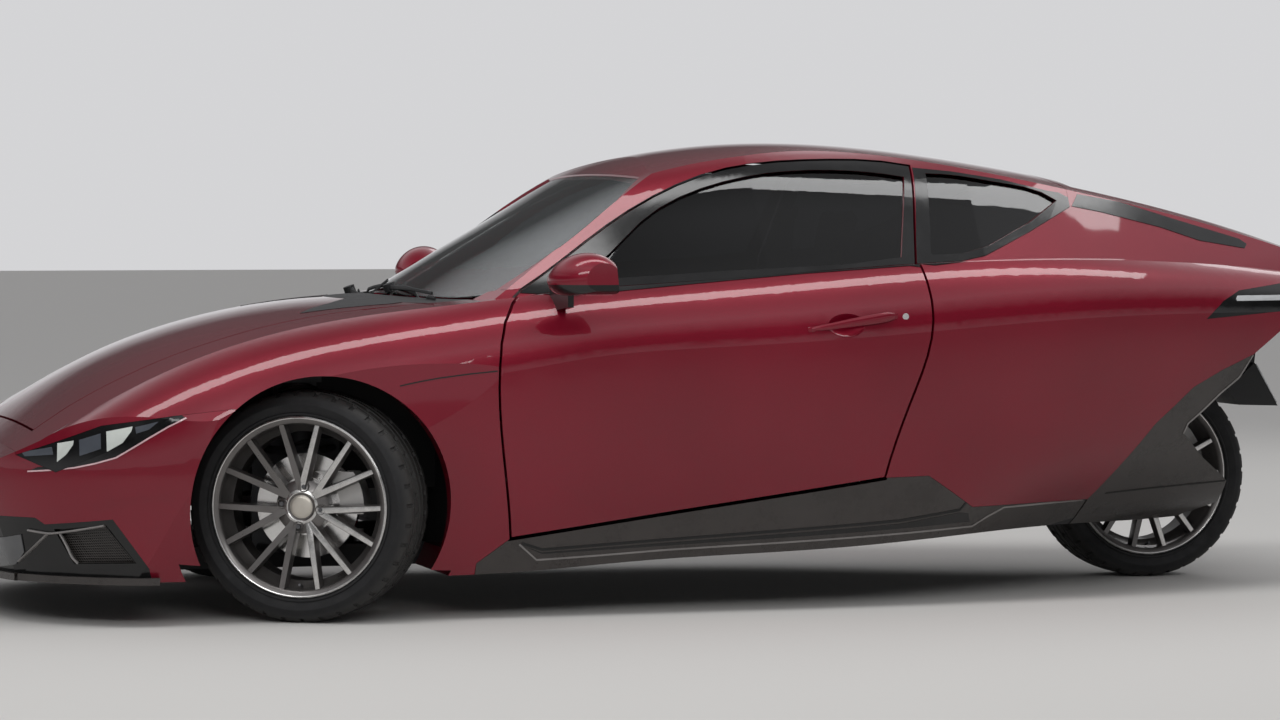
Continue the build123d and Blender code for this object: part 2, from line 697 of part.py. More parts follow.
def spoke(angle_in, angle_out):
    """One bar from the hub at one angle to the barrel at another, both from straight up."""
    ri, ro = 62.0, RIM_LIP_R - 22
    inner = Vector(ri * sin(radians(angle_in)), 0, ri * cos(radians(angle_in)))
    outer = Vector(ro * sin(radians(angle_out)), 0, ro * cos(radians(angle_out)))
    run = outer - inner
    plane_in = Plane(inner + Vector(0, -60, 0), x_dir=(0, 1, 0), z_dir=run)
    plane_out = Plane(outer + Vector(0, -82, 0), x_dir=(0, 1, 0), z_dir=run)
    return loft([plane_in * Rectangle(36, 16), plane_out * Rectangle(26, 11)])


def brake_disc():
    """Disc, hat and hub, which carry the rim."""
    hub = drum(0, 0, 50, HUB_FACE_Y, 30) + drum(0, 0, 78, HUB_FACE_Y, DISC_Y[0])
    return hub + drum(0, 0, DISC_R, *DISC_Y) - drum(0, 0, HUB_BORE_R + BEARING_GAP, -34, 40)


# Running gear, drawn round the wheel's middle with the outside towards -Y

def knuckle():
    """Upright, stub axle, steering arm and brake caliper of a left wheel, steered straight."""
    pin_y = FRONT_WHEEL_Y - KINGPIN_Y
    low, high = (z - WHEEL_Z for z in ARM_Z)
    axle = drum(0, 0, HUB_BORE_R, -33, pin_y)
    carrier = drum(0, 0, 52, 34, 62)
    reach = (JOINT_H - 6) / 2 + JOINT_GAP
    upright = Pos(0, pin_y + 5, (low + high) / 2) * Box(44, 26, high - low - 2 * reach)
    pin = Pos(0, pin_y, (low + high) / 2) * Cylinder(PIN_R, high - low + JOINT_H)
    back, inboard = STEER_ARM
    arm_z = STEER_ARM_Z - WHEEL_Z
    arm = loft([
        Plane((10, pin_y + 6, arm_z), x_dir=(0, 1, 0), z_dir=(1, 0, 0)) * Rectangle(22, 20),
        Plane((back, pin_y + inboard, arm_z), x_dir=(0, 1, 0), z_dir=(1, 0, 0)) * Rectangle(26, 14),
    ])
    eye = Pos(back, pin_y + inboard, arm_z) * Cylinder(15, 14)
    return fuse(axle, carrier, upright, pin, arm, eye, caliper())


def caliper():
    """Clasps the disc at the rear of the wheel."""
    y0, y1 = DISC_Y
    ring = drum(0, 0, DISC_R + 22, y0 - 20, y1 + 26) - drum(0, 0, 96, y0 - 60, y1 + 60)
    sector = block(0, 400, -100, 100, -20, 92)
    slot = drum(0, 0, DISC_R + 6, y0 - 5, y1 + 5)
    bridge = block(10, 118, 34, 52, 10, 40) + block(100, 118, y1 + 8, 52, 10, 40)
    return (ring & sector) - slot + bridge


def fuse(first, *others):
    for other in others:
        first = first + other
    return first


def front_subframe():
    """Cross member, towers, wishbones and spring struts of both front wheels."""
    tower_in, tower_out = WELL_INNER_Y + SEAT_GAP, WELL_INNER_Y + 21
    side = block(-122, 122, -tower_out, -tower_in, 160, 470)
    side = side - block(-84, 84, -430, -390, 230, 400)
    for z, (root_x, root_y) in zip(ARM_Z, ARM_ROOT):
        ball = Pos(0, -KINGPIN_Y, z) * Cylinder(JOINT_R, JOINT_H - 6)
        for x in (-root_x, root_x):
            leg = rod((x, -root_y, z), (x * 0.06, -KINGPIN_Y + 14, z), ARM_R - 3)
            ball = ball + leg
        side = side + ball
    side = side - Pos(0, -KINGPIN_Y, WHEEL_Z) * Cylinder(PIN_R + BEARING_GAP, 400)
    strut = rod((0, -566, ARM_Z[0] + 4), (0, -440, 640), 12) + rod((0, -540, 270), (0, -446, 618), 38)
    foot = block(-60, 60, -584, -548, ARM_Z[0] - 8, ARM_Z[0] + 10)
    cap = block(-60, 60, -480, -tower_in, 628, 652) + block(-60, 60, -tower_in - 10, -tower_in, 440, 640)
    side = fuse(side, strut, foot, cap)
    beam = block(-120, 120, -tower_out, tower_out, 182, 228)
    return fuse(beam, side, mirrored(side))


def steering_rack():
    """Housing of the rack, carried on the cross member."""
    tube = drum(RACK_X, STEER_ARM_Z - 18, RACK_R, -RACK_HALF, RACK_HALF)
    tube = tube - drum(RACK_X, STEER_ARM_Z - 18, RACK_BAR_R + SEAT_GAP, -300, 300)
    feet = [block(100, RACK_X + 10, y - 20, y + 20, 184, 200) for y in (-190, 190)]
    return tube, feet


def tie_rods():
    """Rack bar and both tie rods, drawn for the steering as it stands."""
    z = STEER_ARM_Z - 18
    bar = drum(RACK_X, z, RACK_BAR_R, -RACK_HALF - 90 + RACK_PARKED, RACK_HALF + 90 + RACK_PARKED)
    parts = [bar]
    for side in (-1, 1):
        x, y = steer_arm_end(side)
        end = (x, y, z)
        inner = (RACK_X, side * (RACK_HALF + 86) + RACK_PARKED, z)
        parts.append(rod(inner, end, TIE_R))
        parts.append(Pos(x, y, z) * Cylinder(TIE_EYE_R, 16))
    return fuse(*parts)


def steer_arm_end(side):
    """Where the steering arm's eye stands when the car is parked."""
    back, inboard = STEER_ARM
    a = radians(PARKED_STEER)
    x, y = back, -side * inboard
    return x * cos(a) - y * sin(a), side * KINGPIN_Y + x * sin(a) + y * cos(a)


RACK_PARKED = 120 * sin(radians(PARKED_STEER)) * 0.9


def swing_arm():
    """Fork from the pivot behind the cabin to the rear axle."""
    px, pz = SWING_PIVOT
    tube = drum(px, pz, PIVOT_R, -FORK_Y - FORK_T / 2, FORK_Y + FORK_T / 2)
    beam = side_region(
        ((px - 20, pz - 30), (px + 60, pz - 38), (WHEELBASE + 30, WHEEL_Z - 24),
         (WHEELBASE + 30, WHEEL_Z + 24), (px + 60, pz + 44), (px - 20, pz + 30)),
        gap=0, y_in=FORK_Y - FORK_T / 2, y_out=FORK_Y + FORK_T / 2)
    axle = drum(WHEELBASE, WHEEL_Z, AXLE_R, -FORK_Y, FORK_Y)
    return fuse(tube, beam, mirrored(beam), axle)


def rear_rim():
    return rim() - drum(0, 0, AXLE_R + BEARING_GAP, -200, 200)


def rear_hub():
    """Disc and hub of the rear wheel."""
    hub = drum(0, 0, 50, HUB_FACE_Y, 112) + drum(0, 0, 78, HUB_FACE_Y, DISC_Y[0])
    return hub + drum(0, 0, DISC_R, *DISC_Y) - drum(0, 0, AXLE_R + BEARING_GAP, -200, 200)


# Inside

def floor_tub(shell):
    """Floor pan, firewall, rear wall, luggage floor and the well over the rear wheel."""
    inside = lower_body(WALL + SEAT_GAP)
    pan = shell & floor_region()
    firewall = block(FIREWALL_X, FIREWALL_X + 20, -900, 900, 150, 800) & inside
    firewall = firewall + block(FIREWALL_X, FIREWALL_X + 20, -FRONT_FLOOR_Y + 2, FRONT_FLOOR_Y - 2, 150, 200)
    rear_wall = block(REAR_WALL_X, REAR_WALL_X + 16, -900, 900, 200, LUGGAGE_Z + 4) & inside
    rear_wall = rear_wall + block(REAR_WALL_X, REAR_WALL_X + 16, -500, 500, 230, 280)
    luggage = block(REAR_WALL_X, LUGGAGE_END_X, -900, 900, LUGGAGE_Z, LUGGAGE_Z + SHEET) & inside
    luggage = luggage - rear_cut()
    tail_rows = [(x, z + 2) for x, z in TAIL_UNDER[:3]] + [(3330, 797)]
    tail_rows = tail_rows + [(x - 4, z + SHEET + 2) for x, z in reversed(tail_rows)]
    tail = side_region(tail_rows, gap=0, y_in=-1000) & inside
    cheek = drum(WHEELBASE, WHEEL_Z, REAR_WELL_R + SHEET, -REAR_WELL_Y - SHEET, REAR_WELL_Y + SHEET)
    cheek = cheek - drum(WHEELBASE, WHEEL_Z, REAR_WELL_R, -REAR_WELL_Y, REAR_WELL_Y)
    cheek = cheek - block(2000, 2900, -REAR_WELL_Y, REAR_WELL_Y, 0, 400)
    cheek = cheek & block(2000, 2900, -400, 400, 420, LUGGAGE_Z + 2)
    cheek = cheek - rear_cut() - fairings_space()
    pads = [
        Pos(x, side * JACK_Y, z + 15) * Cylinder(JACK_R, 30) for x, z in JACKS for side in (-1, 1)
    ]
    return fuse(pan, firewall, rear_wall, luggage, tail, cheek, *swing_ears(), *pads)


def swing_ears():
    """Two lugs on the rear wall that hold the pivot tube of the swing arm."""
    px, pz = SWING_PIVOT
    ears = []
    for y in (-108, 108):
        ear = block(REAR_WALL_X + 8, px, y - 8, y + 8, pz - PIVOT_EAR_R, pz + PIVOT_EAR_R)
        ear = ear + drum(px, pz, PIVOT_EAR_R, y - 8, y + 8)
        ears.append(ear - drum(px, pz, PIVOT_R + BEARING_GAP, y - 20, y + 20))
    return ears


def front_trunk():
    """Open luggage tub under the bonnet."""
    x0, half, z0, z1 = TRUNK
    x1 = FIREWALL_X - SEAT_GAP
    tub = block(x0, x1, -half, half, z0, z1)
    tub = tub - block(x0 + SHEET, x1 - SHEET, -half + SHEET, half - SHEET, z0 + SHEET, z1 + 10)
    return tub & lower_body(TRUNK_DEPTH)


def battery_block():
    return block(900, 1980, -100, 100, 256, 420)


def drive_motor():
    return block(REAR_WALL_X + 16 + SEAT_GAP, 2200, -130, 130, 350, 560)


def dashboard():
    rows = ((424, 560), (560, 846), (640, 866), (800, 846), (872, 800), (880, 740), (860, 590), (640, 560))
    body = side_region(rows, gap=0, y_in=-690, y_out=690) & lower_body(WALL + 4)
    cx, cy, cz = WHEEL_CENTRE
    run_x, run_z = cos(radians(WHEEL_TILT)), sin(radians(WHEEL_TILT))
    far, near = COLUMN_SPAN
    column = rod((cx - far * run_x, cy, cz - far * run_z), (cx - near * run_x, cy, cz - near * run_z), 34)
    return body + column


def steering_wheel():
    grip = Torus(WHEEL_RIM_R, WHEEL_GRIP_R)
    hub = Pos(0, 0, -14) * Cylinder(44, 34)
    bars = [Rot(0, 0, a) * Pos(108, 0, -6) * Box(150, 30, 12) for a in (0, 180, 270)]
    flat = fuse(grip, hub, *bars, Pos(0, 0, -44) * Cylinder(16, 40))
    turned = Rot(0, 0, 90) * flat
    return Pos(*WHEEL_CENTRE) * Rot(0, 90 - WHEEL_TILT, 0) * turned


def seat():
    """Cushion, backrest and head restraint of the left seat."""
    cushion = [(1120, 250), (1130, 400), (1180, 420), (1560, 372), (1600, 290), (1580, 250)]
    back = [(1560, 330), (1600, 300), (1690, 330), (1850, 900), (1800, 960), (1745, 930), (1570, 420)]
    head = [(1770, 965), (1820, 950), (1868, 1080), (1840, 1110), (1800, 1100)]
    parts = [
        side_region(cushion, gap=0, y_in=SEAT_Y - 230, y_out=SEAT_Y + 230),
        side_region(back, gap=0, y_in=SEAT_Y - 240, y_out=SEAT_Y + 240),
        side_region(head, gap=0, y_in=SEAT_Y - 130, y_out=SEAT_Y + 130),
        block(1160, 1560, -SEAT_Y - 180, -SEAT_Y + 180, 236, 256),
    ]
    return fuse(*parts)


def plate_bracket():
    half = PLATE_HALF
    wedge = side_region(PLATE_WEDGE, gap=0, y_in=-half, y_out=half)
    return wedge + side_region(PLATE_STALK, gap=0, y_in=-half / 2, y_out=half / 2)


LENGTH_MIDDLE = (NOSE_X + TAIL_X) / 2


def parked(shape, side):
    """Sets a front wheel's piece at its place, turned as the car stands."""
    if side > 0:
        shape = mirrored(shape)
    turned = Pos(0, side * (FRONT_WHEEL_Y - KINGPIN_Y), 0) * shape
    return Pos(0, side * KINGPIN_Y, WHEEL_Z) * Rot(0, 0, PARKED_STEER) * turned


def make_parts():
    shell = body_shell()
    layer = glass_layer()
    left_door = door(shell)
    left_glass = pane(layer, window_region(gap=2 * SEAT_GAP, y_in=400))
    left_fender, left_quarter = fender(shell), quarter(shell)
    quarter_glass = pane(layer, quarter_window_region(gap=2 * SEAT_GAP, y_in=300))
    rack_tube, rack_feet = steering_rack()
    nodes = {
        "floor_tub": floor_tub(shell),
        "front_trunk": front_trunk(),
        "battery_block": battery_block(),
        "drive_motor": drive_motor(),
        "body_frame": body_frame(shell),
        "left_fender": left_fender,
        "right_fender": mirrored(left_fender),
        "left_quarter": left_quarter,
        "right_quarter": mirrored(left_quarter),
        "cowl_panel": cowl_panel(shell),
        "front_bumper": front_bumper(shell),
        "front_grille": front_grille(shell),
        "headlamps": headlamps(shell),
        "tail_panel": tail_panel(shell),
        "tail_lamp": tail_lamp(shell),
        "side_sills": side_sills(shell),
        "rear_fairings": rear_fairings(),
        "windscreen": pane(layer, windscreen_region(2 * SEAT_GAP)),
        "quarter_glass": both_sides(quarter_glass),
        "plate_bracket": plate_bracket(),
        "dashboard": dashboard(),
        "left_seat": seat(),
        "right_seat": mirrored(seat()),
        "front_subframe": fuse(front_subframe(), rack_tube, *rack_feet),
        "swing_arm": swing_arm(),
        "bonnet": bonnet(shell),
        "hatch": hatch(shell),
        "hatch_glass": pane(layer, hatch_region(gap=2 * SEAT_GAP, rim=HATCH_RIM)),
        "tie_rods": tie_rods(),
        "steering_wheel": steering_wheel(),
        "left_door": left_door,
        "left_door_glass": left_glass,
        "left_mirror": mirror_housing(),
        "rear_tyre": place(tyre(), WHEELBASE, 0, WHEEL_Z),
        "rear_rim": place(Rot(0, 180 / SPOKE_PAIRS, 0) * rear_rim(), WHEELBASE, 0, WHEEL_Z),
        "rear_hub": place(rear_hub(), WHEELBASE, 0, WHEEL_Z),
    }
    nodes["left_mirror"] = nodes["left_mirror"] - left_door
    for name in ("left_door", "left_door_glass", "left_mirror"):
        nodes[name.replace("left", "right")] = mirrored(nodes[name])
    for side, word in ((-1, "left"), (1, "right")):
        nodes[word + "_knuckle"] = parked(knuckle(), side)
        nodes[word + "_tyre"] = parked(tyre(), side)
        nodes[word + "_rim"] = parked(rim(), side)
        nodes[word + "_disc"] = parked(brake_disc(), side)
    return nodes


os.makedirs("parts", exist_ok=True)
for name, shape in make_parts().items():
    export_step(place(shape, x=-LENGTH_MIDDLE), f"parts/{name}.step")
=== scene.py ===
import json
import math

import bmesh
import bpy
from mathutils import Matrix, Vector
from mathutils.bvhtree import BVHTree

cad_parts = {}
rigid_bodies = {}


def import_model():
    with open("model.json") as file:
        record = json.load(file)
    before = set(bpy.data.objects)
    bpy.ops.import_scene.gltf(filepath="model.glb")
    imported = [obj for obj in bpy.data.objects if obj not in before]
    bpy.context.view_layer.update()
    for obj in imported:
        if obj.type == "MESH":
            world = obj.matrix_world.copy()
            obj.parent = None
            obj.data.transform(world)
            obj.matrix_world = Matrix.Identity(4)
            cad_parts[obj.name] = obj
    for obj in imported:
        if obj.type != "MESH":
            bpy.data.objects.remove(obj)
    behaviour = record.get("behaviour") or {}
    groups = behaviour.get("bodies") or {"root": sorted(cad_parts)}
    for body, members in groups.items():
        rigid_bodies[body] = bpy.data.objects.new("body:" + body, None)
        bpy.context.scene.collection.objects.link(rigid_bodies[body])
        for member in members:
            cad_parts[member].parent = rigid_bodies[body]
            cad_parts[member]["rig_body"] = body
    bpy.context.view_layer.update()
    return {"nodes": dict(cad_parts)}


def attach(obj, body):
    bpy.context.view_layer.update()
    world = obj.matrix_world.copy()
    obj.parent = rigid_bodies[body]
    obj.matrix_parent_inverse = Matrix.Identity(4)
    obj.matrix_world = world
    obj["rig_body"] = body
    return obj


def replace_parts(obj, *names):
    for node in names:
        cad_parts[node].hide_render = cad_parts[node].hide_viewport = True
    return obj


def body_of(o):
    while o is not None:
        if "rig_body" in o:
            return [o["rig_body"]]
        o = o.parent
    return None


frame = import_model()
print("frame loaded")

mm = 0.001
# where the front axle is along the frame, the kingpins beside the middle and the wheels beyond them
car = {"axle": -1.2, "wheelbase": 2.66, "kingpin": 0.66, "wheelOut": 0.04, "wheelHeight": 0.309,
       "steer": math.radians(-28.0)}


def alongCar(x, y, z):
    # millimetres from the front axle, as the side view is drawn, to the frame's metres
    return Vector((x * mm + car["axle"], y * mm, z * mm))


class Amount:                             # a socket that can be used in sums
    def __init__(self, finish, socket):
        self.finish, self.socket = finish, socket

    def sum(self, operation, other, swap=False):
        first, second = (other, self) if swap else (self, other)
        return self.finish.add("ShaderNodeMath", {"operation": operation}, {0: first, 1: second})

    def __add__(self, other): return self.sum("ADD", other)
    def __radd__(self, other): return self.sum("ADD", other, True)
    def __mul__(self, other): return self.sum("MULTIPLY", other)
    def __rmul__(self, other): return self.sum("MULTIPLY", other, True)
    def __gt__(self, other): return self.sum("GREATER_THAN", other)
    def __lt__(self, other): return self.sum("LESS_THAN", other)


class Finish:                             # one material and its Principled shader
    def __init__(self, name, **constants):
        self.material = bpy.data.materials.new(name)
        self.material.use_nodes = True
        self.tree = self.material.node_tree
        self.shader = self.tree.nodes["Principled BSDF"]
        for word, value in constants.items():
            self.shader.inputs[word.replace("_", " ")].default_value = value

    def add(self, kind, settings=None, inputs=None, output=0):
        node = self.tree.nodes.new(kind)
        for word, value in (settings or {}).items():
            setattr(node, word, value)
        for word, value in (inputs or {}).items():
            if isinstance(value, Amount):
                self.tree.links.new(value.socket, node.inputs[word])
            else:
                node.inputs[word].default_value = value
        return Amount(self, node.outputs[output])

    def feed(self, word, value):
        self.tree.links.new(value.socket, self.shader.inputs[word])

    def place(self, centre=(0, 0, 0), turn=(0, 0, 0)):
        # Object coordinates, centred first and then turned
        where = self.add("ShaderNodeTexCoord", output=3)
        moved = self.add("ShaderNodeVectorMath", {"operation": "SUBTRACT"}, {0: where, 1: centre})
        return self.add("ShaderNodeMapping", {}, {"Vector": moved, "Rotation": turn})

    def axes(self, where=None):
        node = self.tree.nodes.new("ShaderNodeSeparateXYZ")
        self.tree.links.new((where or self.place()).socket, node.inputs[0])
        return [Amount(self, out) for out in node.outputs]

    def fromAxle(self, centre, turn):
        # how far a point is from a wheel's axle
        x, y, z = self.axes(self.place(centre, turn))
        return self.add("ShaderNodeMath", {"operation": "SQRT"}, {0: x * x + z * z})

    def waves(self, amount):
        return self.add("ShaderNodeMath", {"operation": "SINE"}, {0: amount})

    def noise(self, scale, detail=2.0, roughness=0.5):
        return self.add("ShaderNodeTexNoise", {}, {
            "Vector": self.place(), "Scale": scale, "Detail": detail, "Roughness": roughness})

    def ramp(self, amount, low, high, start, end):
        # start where amount is low, end where it is high
        return self.add("ShaderNodeMapRange", {"clamp": True}, {
            "Value": amount, "From Min": low, "From Max": high, "To Min": start, "To Max": end})

    def blendColour(self, amount, first, second):
        return self.add("ShaderNodeMix", {"data_type": "RGBA"}, {0: amount, 6: first, 7: second},
                        output=2)

    def bump(self, height, depth, strength=1.0):
        self.feed("Normal", self.add("ShaderNodeBump", {}, {
            "Height": height, "Distance": depth, "Strength": strength}))


def rgb(red, green, blue):
    return (red, green, blue, 1.0)


def scaled(colour, factor, add=0.0):
    return rgb(*(min(1.0, value * factor + add) for value in colour[:3]))


paint = {"colour": rgb(0.255, 0.0016, 0.020), "deep": rgb(0.115, 0.0008, 0.008), "metallic": 0.30,
         "black": rgb(0.004, 0.004, 0.004), "mirrorFoot": 0.900}


def paintFinish(name, blackBelow=None):
    # metallic base with fine flakes under clear lacquer; the mirrors are black below a height
    finish = Finish(name, Metallic=paint["metallic"], Specular_IOR_Level=0.2, Coat_Weight=1.0,
                    Coat_Roughness=0.03, Coat_IOR=1.45)
    flakes = finish.noise(1800.0, 2.0, 0.7)
    cloud = finish.noise(2.2, 2.0)
    tone = finish.ramp(flakes * 0.75 + cloud * 0.25, 0.3, 0.7, 0.0, 1.0)
    shade = finish.blendColour(tone, paint["deep"], paint["colour"])
    if blackBelow:
        x, y, z = finish.axes()
        low = z < blackBelow
        shade = finish.blendColour(low, shade, paint["black"])
        finish.feed("Metallic", low * -paint["metallic"] + paint["metallic"])
    finish.feed("Base Color", shade)
    finish.feed("Roughness", finish.ramp(flakes, 0.3, 0.7, 0.30, 0.40))
    finish.bump(finish.noise(160.0, 1.0), 0.00002, 0.35)
    return finish.material


def mouldedFinish(name, colour, roughness, grain, depth, metallic=0.0, coat=0.0, spread=0.12):
    # plastic, leather or cast parts: a small grain, uneven sheen and a little dust in the colour
    finish = Finish(name, Metallic=metallic, Coat_Weight=coat, Coat_Roughness=0.06)
    patches = finish.noise(9.0, 4.0, 0.6)
    fine = finish.noise(grain, 3.0, 0.6)
    dust = finish.ramp(patches, 0.3, 0.75, 0.0, 1.0)
    finish.feed("Base Color", finish.blendColour(dust, colour, scaled(colour, 1.35, 0.006)))
    smooth, rough = max(0.02, roughness - spread), min(1.0, roughness + spread)
    finish.feed("Roughness", finish.ramp(patches * 0.6 + fine * 0.4, 0.3, 0.7, smooth, rough))
    finish.bump(fine, depth * mm, 0.6)
    return finish.material


def turnedFinish(name, colour, centre, turn, roughness=0.26, rings=420.0):
    # metal cut on a lathe: fine rings about the wheel's axle
    finish = Finish(name, Metallic=1.0)
    ring = finish.waves(finish.fromAxle(centre, turn) * (rings * math.tau))
    smear = finish.noise(40.0, 3.0)
    worn = finish.ramp(smear, 0.3, 0.7, 0.0, 1.0)
    finish.feed("Base Color", finish.blendColour(worn, scaled(colour, 0.8), colour))
    finish.feed("Roughness", finish.ramp(ring * 0.3 + smear, 0.2, 1.0,
                                         roughness - 0.06, roughness + 0.12))
    finish.bump(ring, 0.00002, 0.5)
    return finish.material


def glassFinish(name, colour):
    finish = Finish(name, IOR=1.5, Transmission_Weight=1.0)
    haze = finish.noise(3.0, 3.0)
    finish.feed("Roughness", finish.ramp(haze, 0.3, 0.7, 0.0, 0.02))
    finish.feed("Base Color", finish.blendColour(haze, scaled(colour, 0.92), colour))
    return finish.material


def rubberFinish(name, centre, turn):
    # tread worn a little paler than the shoulder, faint rings on the side wall
    finish = Finish(name, Specular_IOR_Level=0.35)
    reach = finish.fromAxle(centre, turn)
    dust = finish.noise(30.0, 5.0, 0.65)
    worn = finish.ramp(reach, 0.285, 0.305, 0.0, 0.75) * finish.ramp(dust, 0.3, 0.7, 0.4, 1.0)
    finish.feed("Base Color", finish.blendColour(worn, rgb(0.012, 0.012, 0.013),
                                                 rgb(0.05, 0.048, 0.045)))
    finish.feed("Roughness", finish.ramp(dust, 0.3, 0.7, 0.55, 0.8))
    ring = finish.waves(reach * 2600.0)
    sideWall = finish.ramp(reach, 0.27, 0.285, 1.0, 0.0)
    finish.bump(ring * sideWall + finish.noise(1400.0, 2.0), 0.00008, 0.4)
    return finish.material


# colour, roughness, scale of the grain, its depth in millimetres, and what else differs
moulded = {
    "satinGrey": (rgb(0.026, 0.0215, 0.0195), 0.30, 900, 0.03, {"coat": 0.15}),
    "glossBlack": (rgb(0.0022, 0.0022, 0.0025), 0.14, 60, 0.01, {"spread": 0.04}),
    "blackPlastic": (rgb(0.007, 0.007, 0.0075), 0.55, 1300, 0.1, {}),
    "headCloth": (rgb(0.030, 0.029, 0.028), 0.92, 1700, 0.3, {}),
    "sealRubber": (rgb(0.005, 0.005, 0.005), 0.7, 900, 0.1, {}),
    "lensPale": (rgb(0.52, 0.55, 0.52), 0.18, 120, 0.02, {"coat": 1.0, "spread": 0.06}),
    "lensDim": (rgb(0.055, 0.062, 0.075), 0.16, 120, 0.02, {"coat": 1.0, "spread": 0.05}),
    "edgeBright": (rgb(0.50, 0.50, 0.52), 0.28, 200, 0.01, {"metallic": 0.8, "spread": 0.05}),
    "plateBlank": (rgb(0.62, 0.62, 0.60), 0.4, 300, 0.02, {}),
    "beltWeb": (rgb(0.018, 0.018, 0.019), 0.8, 2400, 0.2, {}),
    "mirrorGlass": (rgb(0.82, 0.84, 0.86), 0.04, 20, 0.001, {"metallic": 1.0, "spread": 0.01}),
    "screenFace": (rgb(0.004, 0.005, 0.007), 0.08, 60, 0.005, {"coat": 0.8, "spread": 0.03}),
    # a paler grey: painted highlight along the edges of the sill and the fairing, also used on the
    # vent fins and the splitter's outer face
    "edgeGrey": (rgb(0.16, 0.15, 0.145), 0.3, 200, 0.01, {"coat": 0.4, "spread": 0.05}),
    "glossGrey": (rgb(0.06, 0.062, 0.066), 0.14, 80, 0.01, {"coat": 0.8, "spread": 0.05}),
    # pale pink: painted highlight along the headlamp's lower edge
    "lampRim": (rgb(0.55, 0.36, 0.38), 0.2, 120, 0.01, {"coat": 1.0, "spread": 0.05}),
    "springSteel": (rgb(0.03, 0.03, 0.032), 0.4, 300, 0.04, {"metallic": 0.5, "coat": 0.2}),
    "rimGrey": (rgb(0.13, 0.122, 0.118), 0.34, 300, 0.02, {"metallic": 0.7, "coat": 0.3}),
    "castSteel": (rgb(0.10, 0.10, 0.105), 0.5, 500, 0.2, {"metallic": 0.8}),
    "caliperGrey": (rgb(0.42, 0.41, 0.40), 0.42, 420, 0.1, {"metallic": 0.7}),
    "brightMetal": (rgb(0.62, 0.61, 0.60), 0.2, 200, 0.01, {"metallic": 1.0, "spread": 0.06}),
    "capGrey": (rgb(0.46, 0.43, 0.38), 0.36, 260, 0.03, {"metallic": 0.6, "coat": 0.2}),
    "leather": (rgb(0.030, 0.029, 0.029), 0.5, 520, 0.35, {}),
    "leatherPanel": (rgb(0.11, 0.105, 0.10), 0.55, 520, 0.35, {}),
    "dashPlastic": (rgb(0.024, 0.024, 0.025), 0.62, 800, 0.25, {}),
    "carpet": (rgb(0.022, 0.022, 0.023), 0.95, 1500, 0.8, {}),
    "underBody": (rgb(0.016, 0.016, 0.017), 0.62, 240, 0.4, {}),
    "lampWhite": (rgb(0.42, 0.43, 0.44), 0.16, 90, 0.02, {"coat": 1.0, "spread": 0.05}),
    "lampRed": (rgb(0.30, 0.006, 0.008), 0.12, 90, 0.02, {"coat": 1.0, "spread": 0.05}),
}
glass = {"screenGlass": rgb(0.86, 0.92, 0.91), "tintedGlass": rgb(0.045, 0.048, 0.052),
         "darkGlass": rgb(0.03, 0.032, 0.035)}
finishes = {"paintRed": paintFinish("paintRed"),
            "mirrorPaint": paintFinish("mirrorPaint", paint["mirrorFoot"])}
for word, (colour, roughness, grain, depth, rest) in moulded.items():
    finishes[word] = mouldedFinish(word, colour, roughness, grain, depth, **rest)
for word, colour in glass.items():
    finishes[word] = glassFinish(word, colour)
print("finishes ready")


def makePiece(name, bm, body, *words, smooth=32.0):
    mesh = bpy.data.meshes.new(name)
    bm.normal_update()
    bm.to_mesh(mesh)
    bm.free()
    mesh.polygons.foreach_set("use_smooth", [True] * len(mesh.polygons))
    mesh.set_sharp_from_angle(angle=math.radians(smooth))
    for word in words:
        mesh.materials.append(finishes[word])
    piece = bpy.data.objects.new(name, mesh)
    bpy.context.scene.collection.objects.link(piece)
    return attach(piece, body)


def bothSides(piece):
    # the same piece for the right of the car
    bm = bmesh.new()
    bm.from_mesh(piece.data)
    bmesh.ops.scale(bm, verts=bm.verts, vec=(1, -1, 1))
    bmesh.ops.reverse_faces(bm, faces=bm.faces)
    name, body = (word.replace("left", "right", 1) for word in (piece.name, body_of(piece)[0]))
    makePiece(name, bm, body, *(material.name for material in piece.data.materials))


def meshOf(nodeName):
    # the node's loose triangles as one joined mesh
    bm = bmesh.new()
    bm.from_mesh(frame["nodes"][nodeName].data)
    bmesh.ops.remove_doubles(bm, verts=bm.verts, dist=0.00002)
    return bm


def surfaceOf(*nodeNames):
    # a function that finds where a ray from a point first meets some nodes
    bm = bmesh.new()
    for nodeName in nodeNames:
        bm.from_mesh(frame["nodes"][nodeName].data)
    tree = BVHTree.FromBMesh(bm)
    bm.free()
    return lambda start, direction: tree.ray_cast(start, Vector(direction))[0]


def joinInto(bm, other):
    mesh = bpy.data.meshes.new("part")
    other.to_mesh(mesh)
    other.free()
    bm.from_mesh(mesh)
    bpy.data.meshes.remove(mesh)


def spun(profile, steps=96, centre=(0, 0, 0)):
    # a profile of (radius, y) turned round the Y axis
    bm = bmesh.new()
    points = [bm.verts.new((radius, y, 0.0)) for radius, y in profile]
    edges = [bm.edges.new(pair) for pair in zip(points, points[1:])]
    bmesh.ops.spin(bm, geom=points + edges, cent=(0, 0, 0), axis=(0, 1, 0), angle=math.tau,
                   steps=steps, use_merge=True)
    bmesh.ops.remove_doubles(bm, verts=bm.verts, dist=0.00001)
    bmesh.ops.recalc_face_normals(bm, faces=bm.faces)
    bmesh.ops.translate(bm, verts=bm.verts, vec=centre)
    return bm


def facesOf(verts):
    # each face once, in order
    return list(dict.fromkeys(face for vert in verts for face in vert.link_faces))


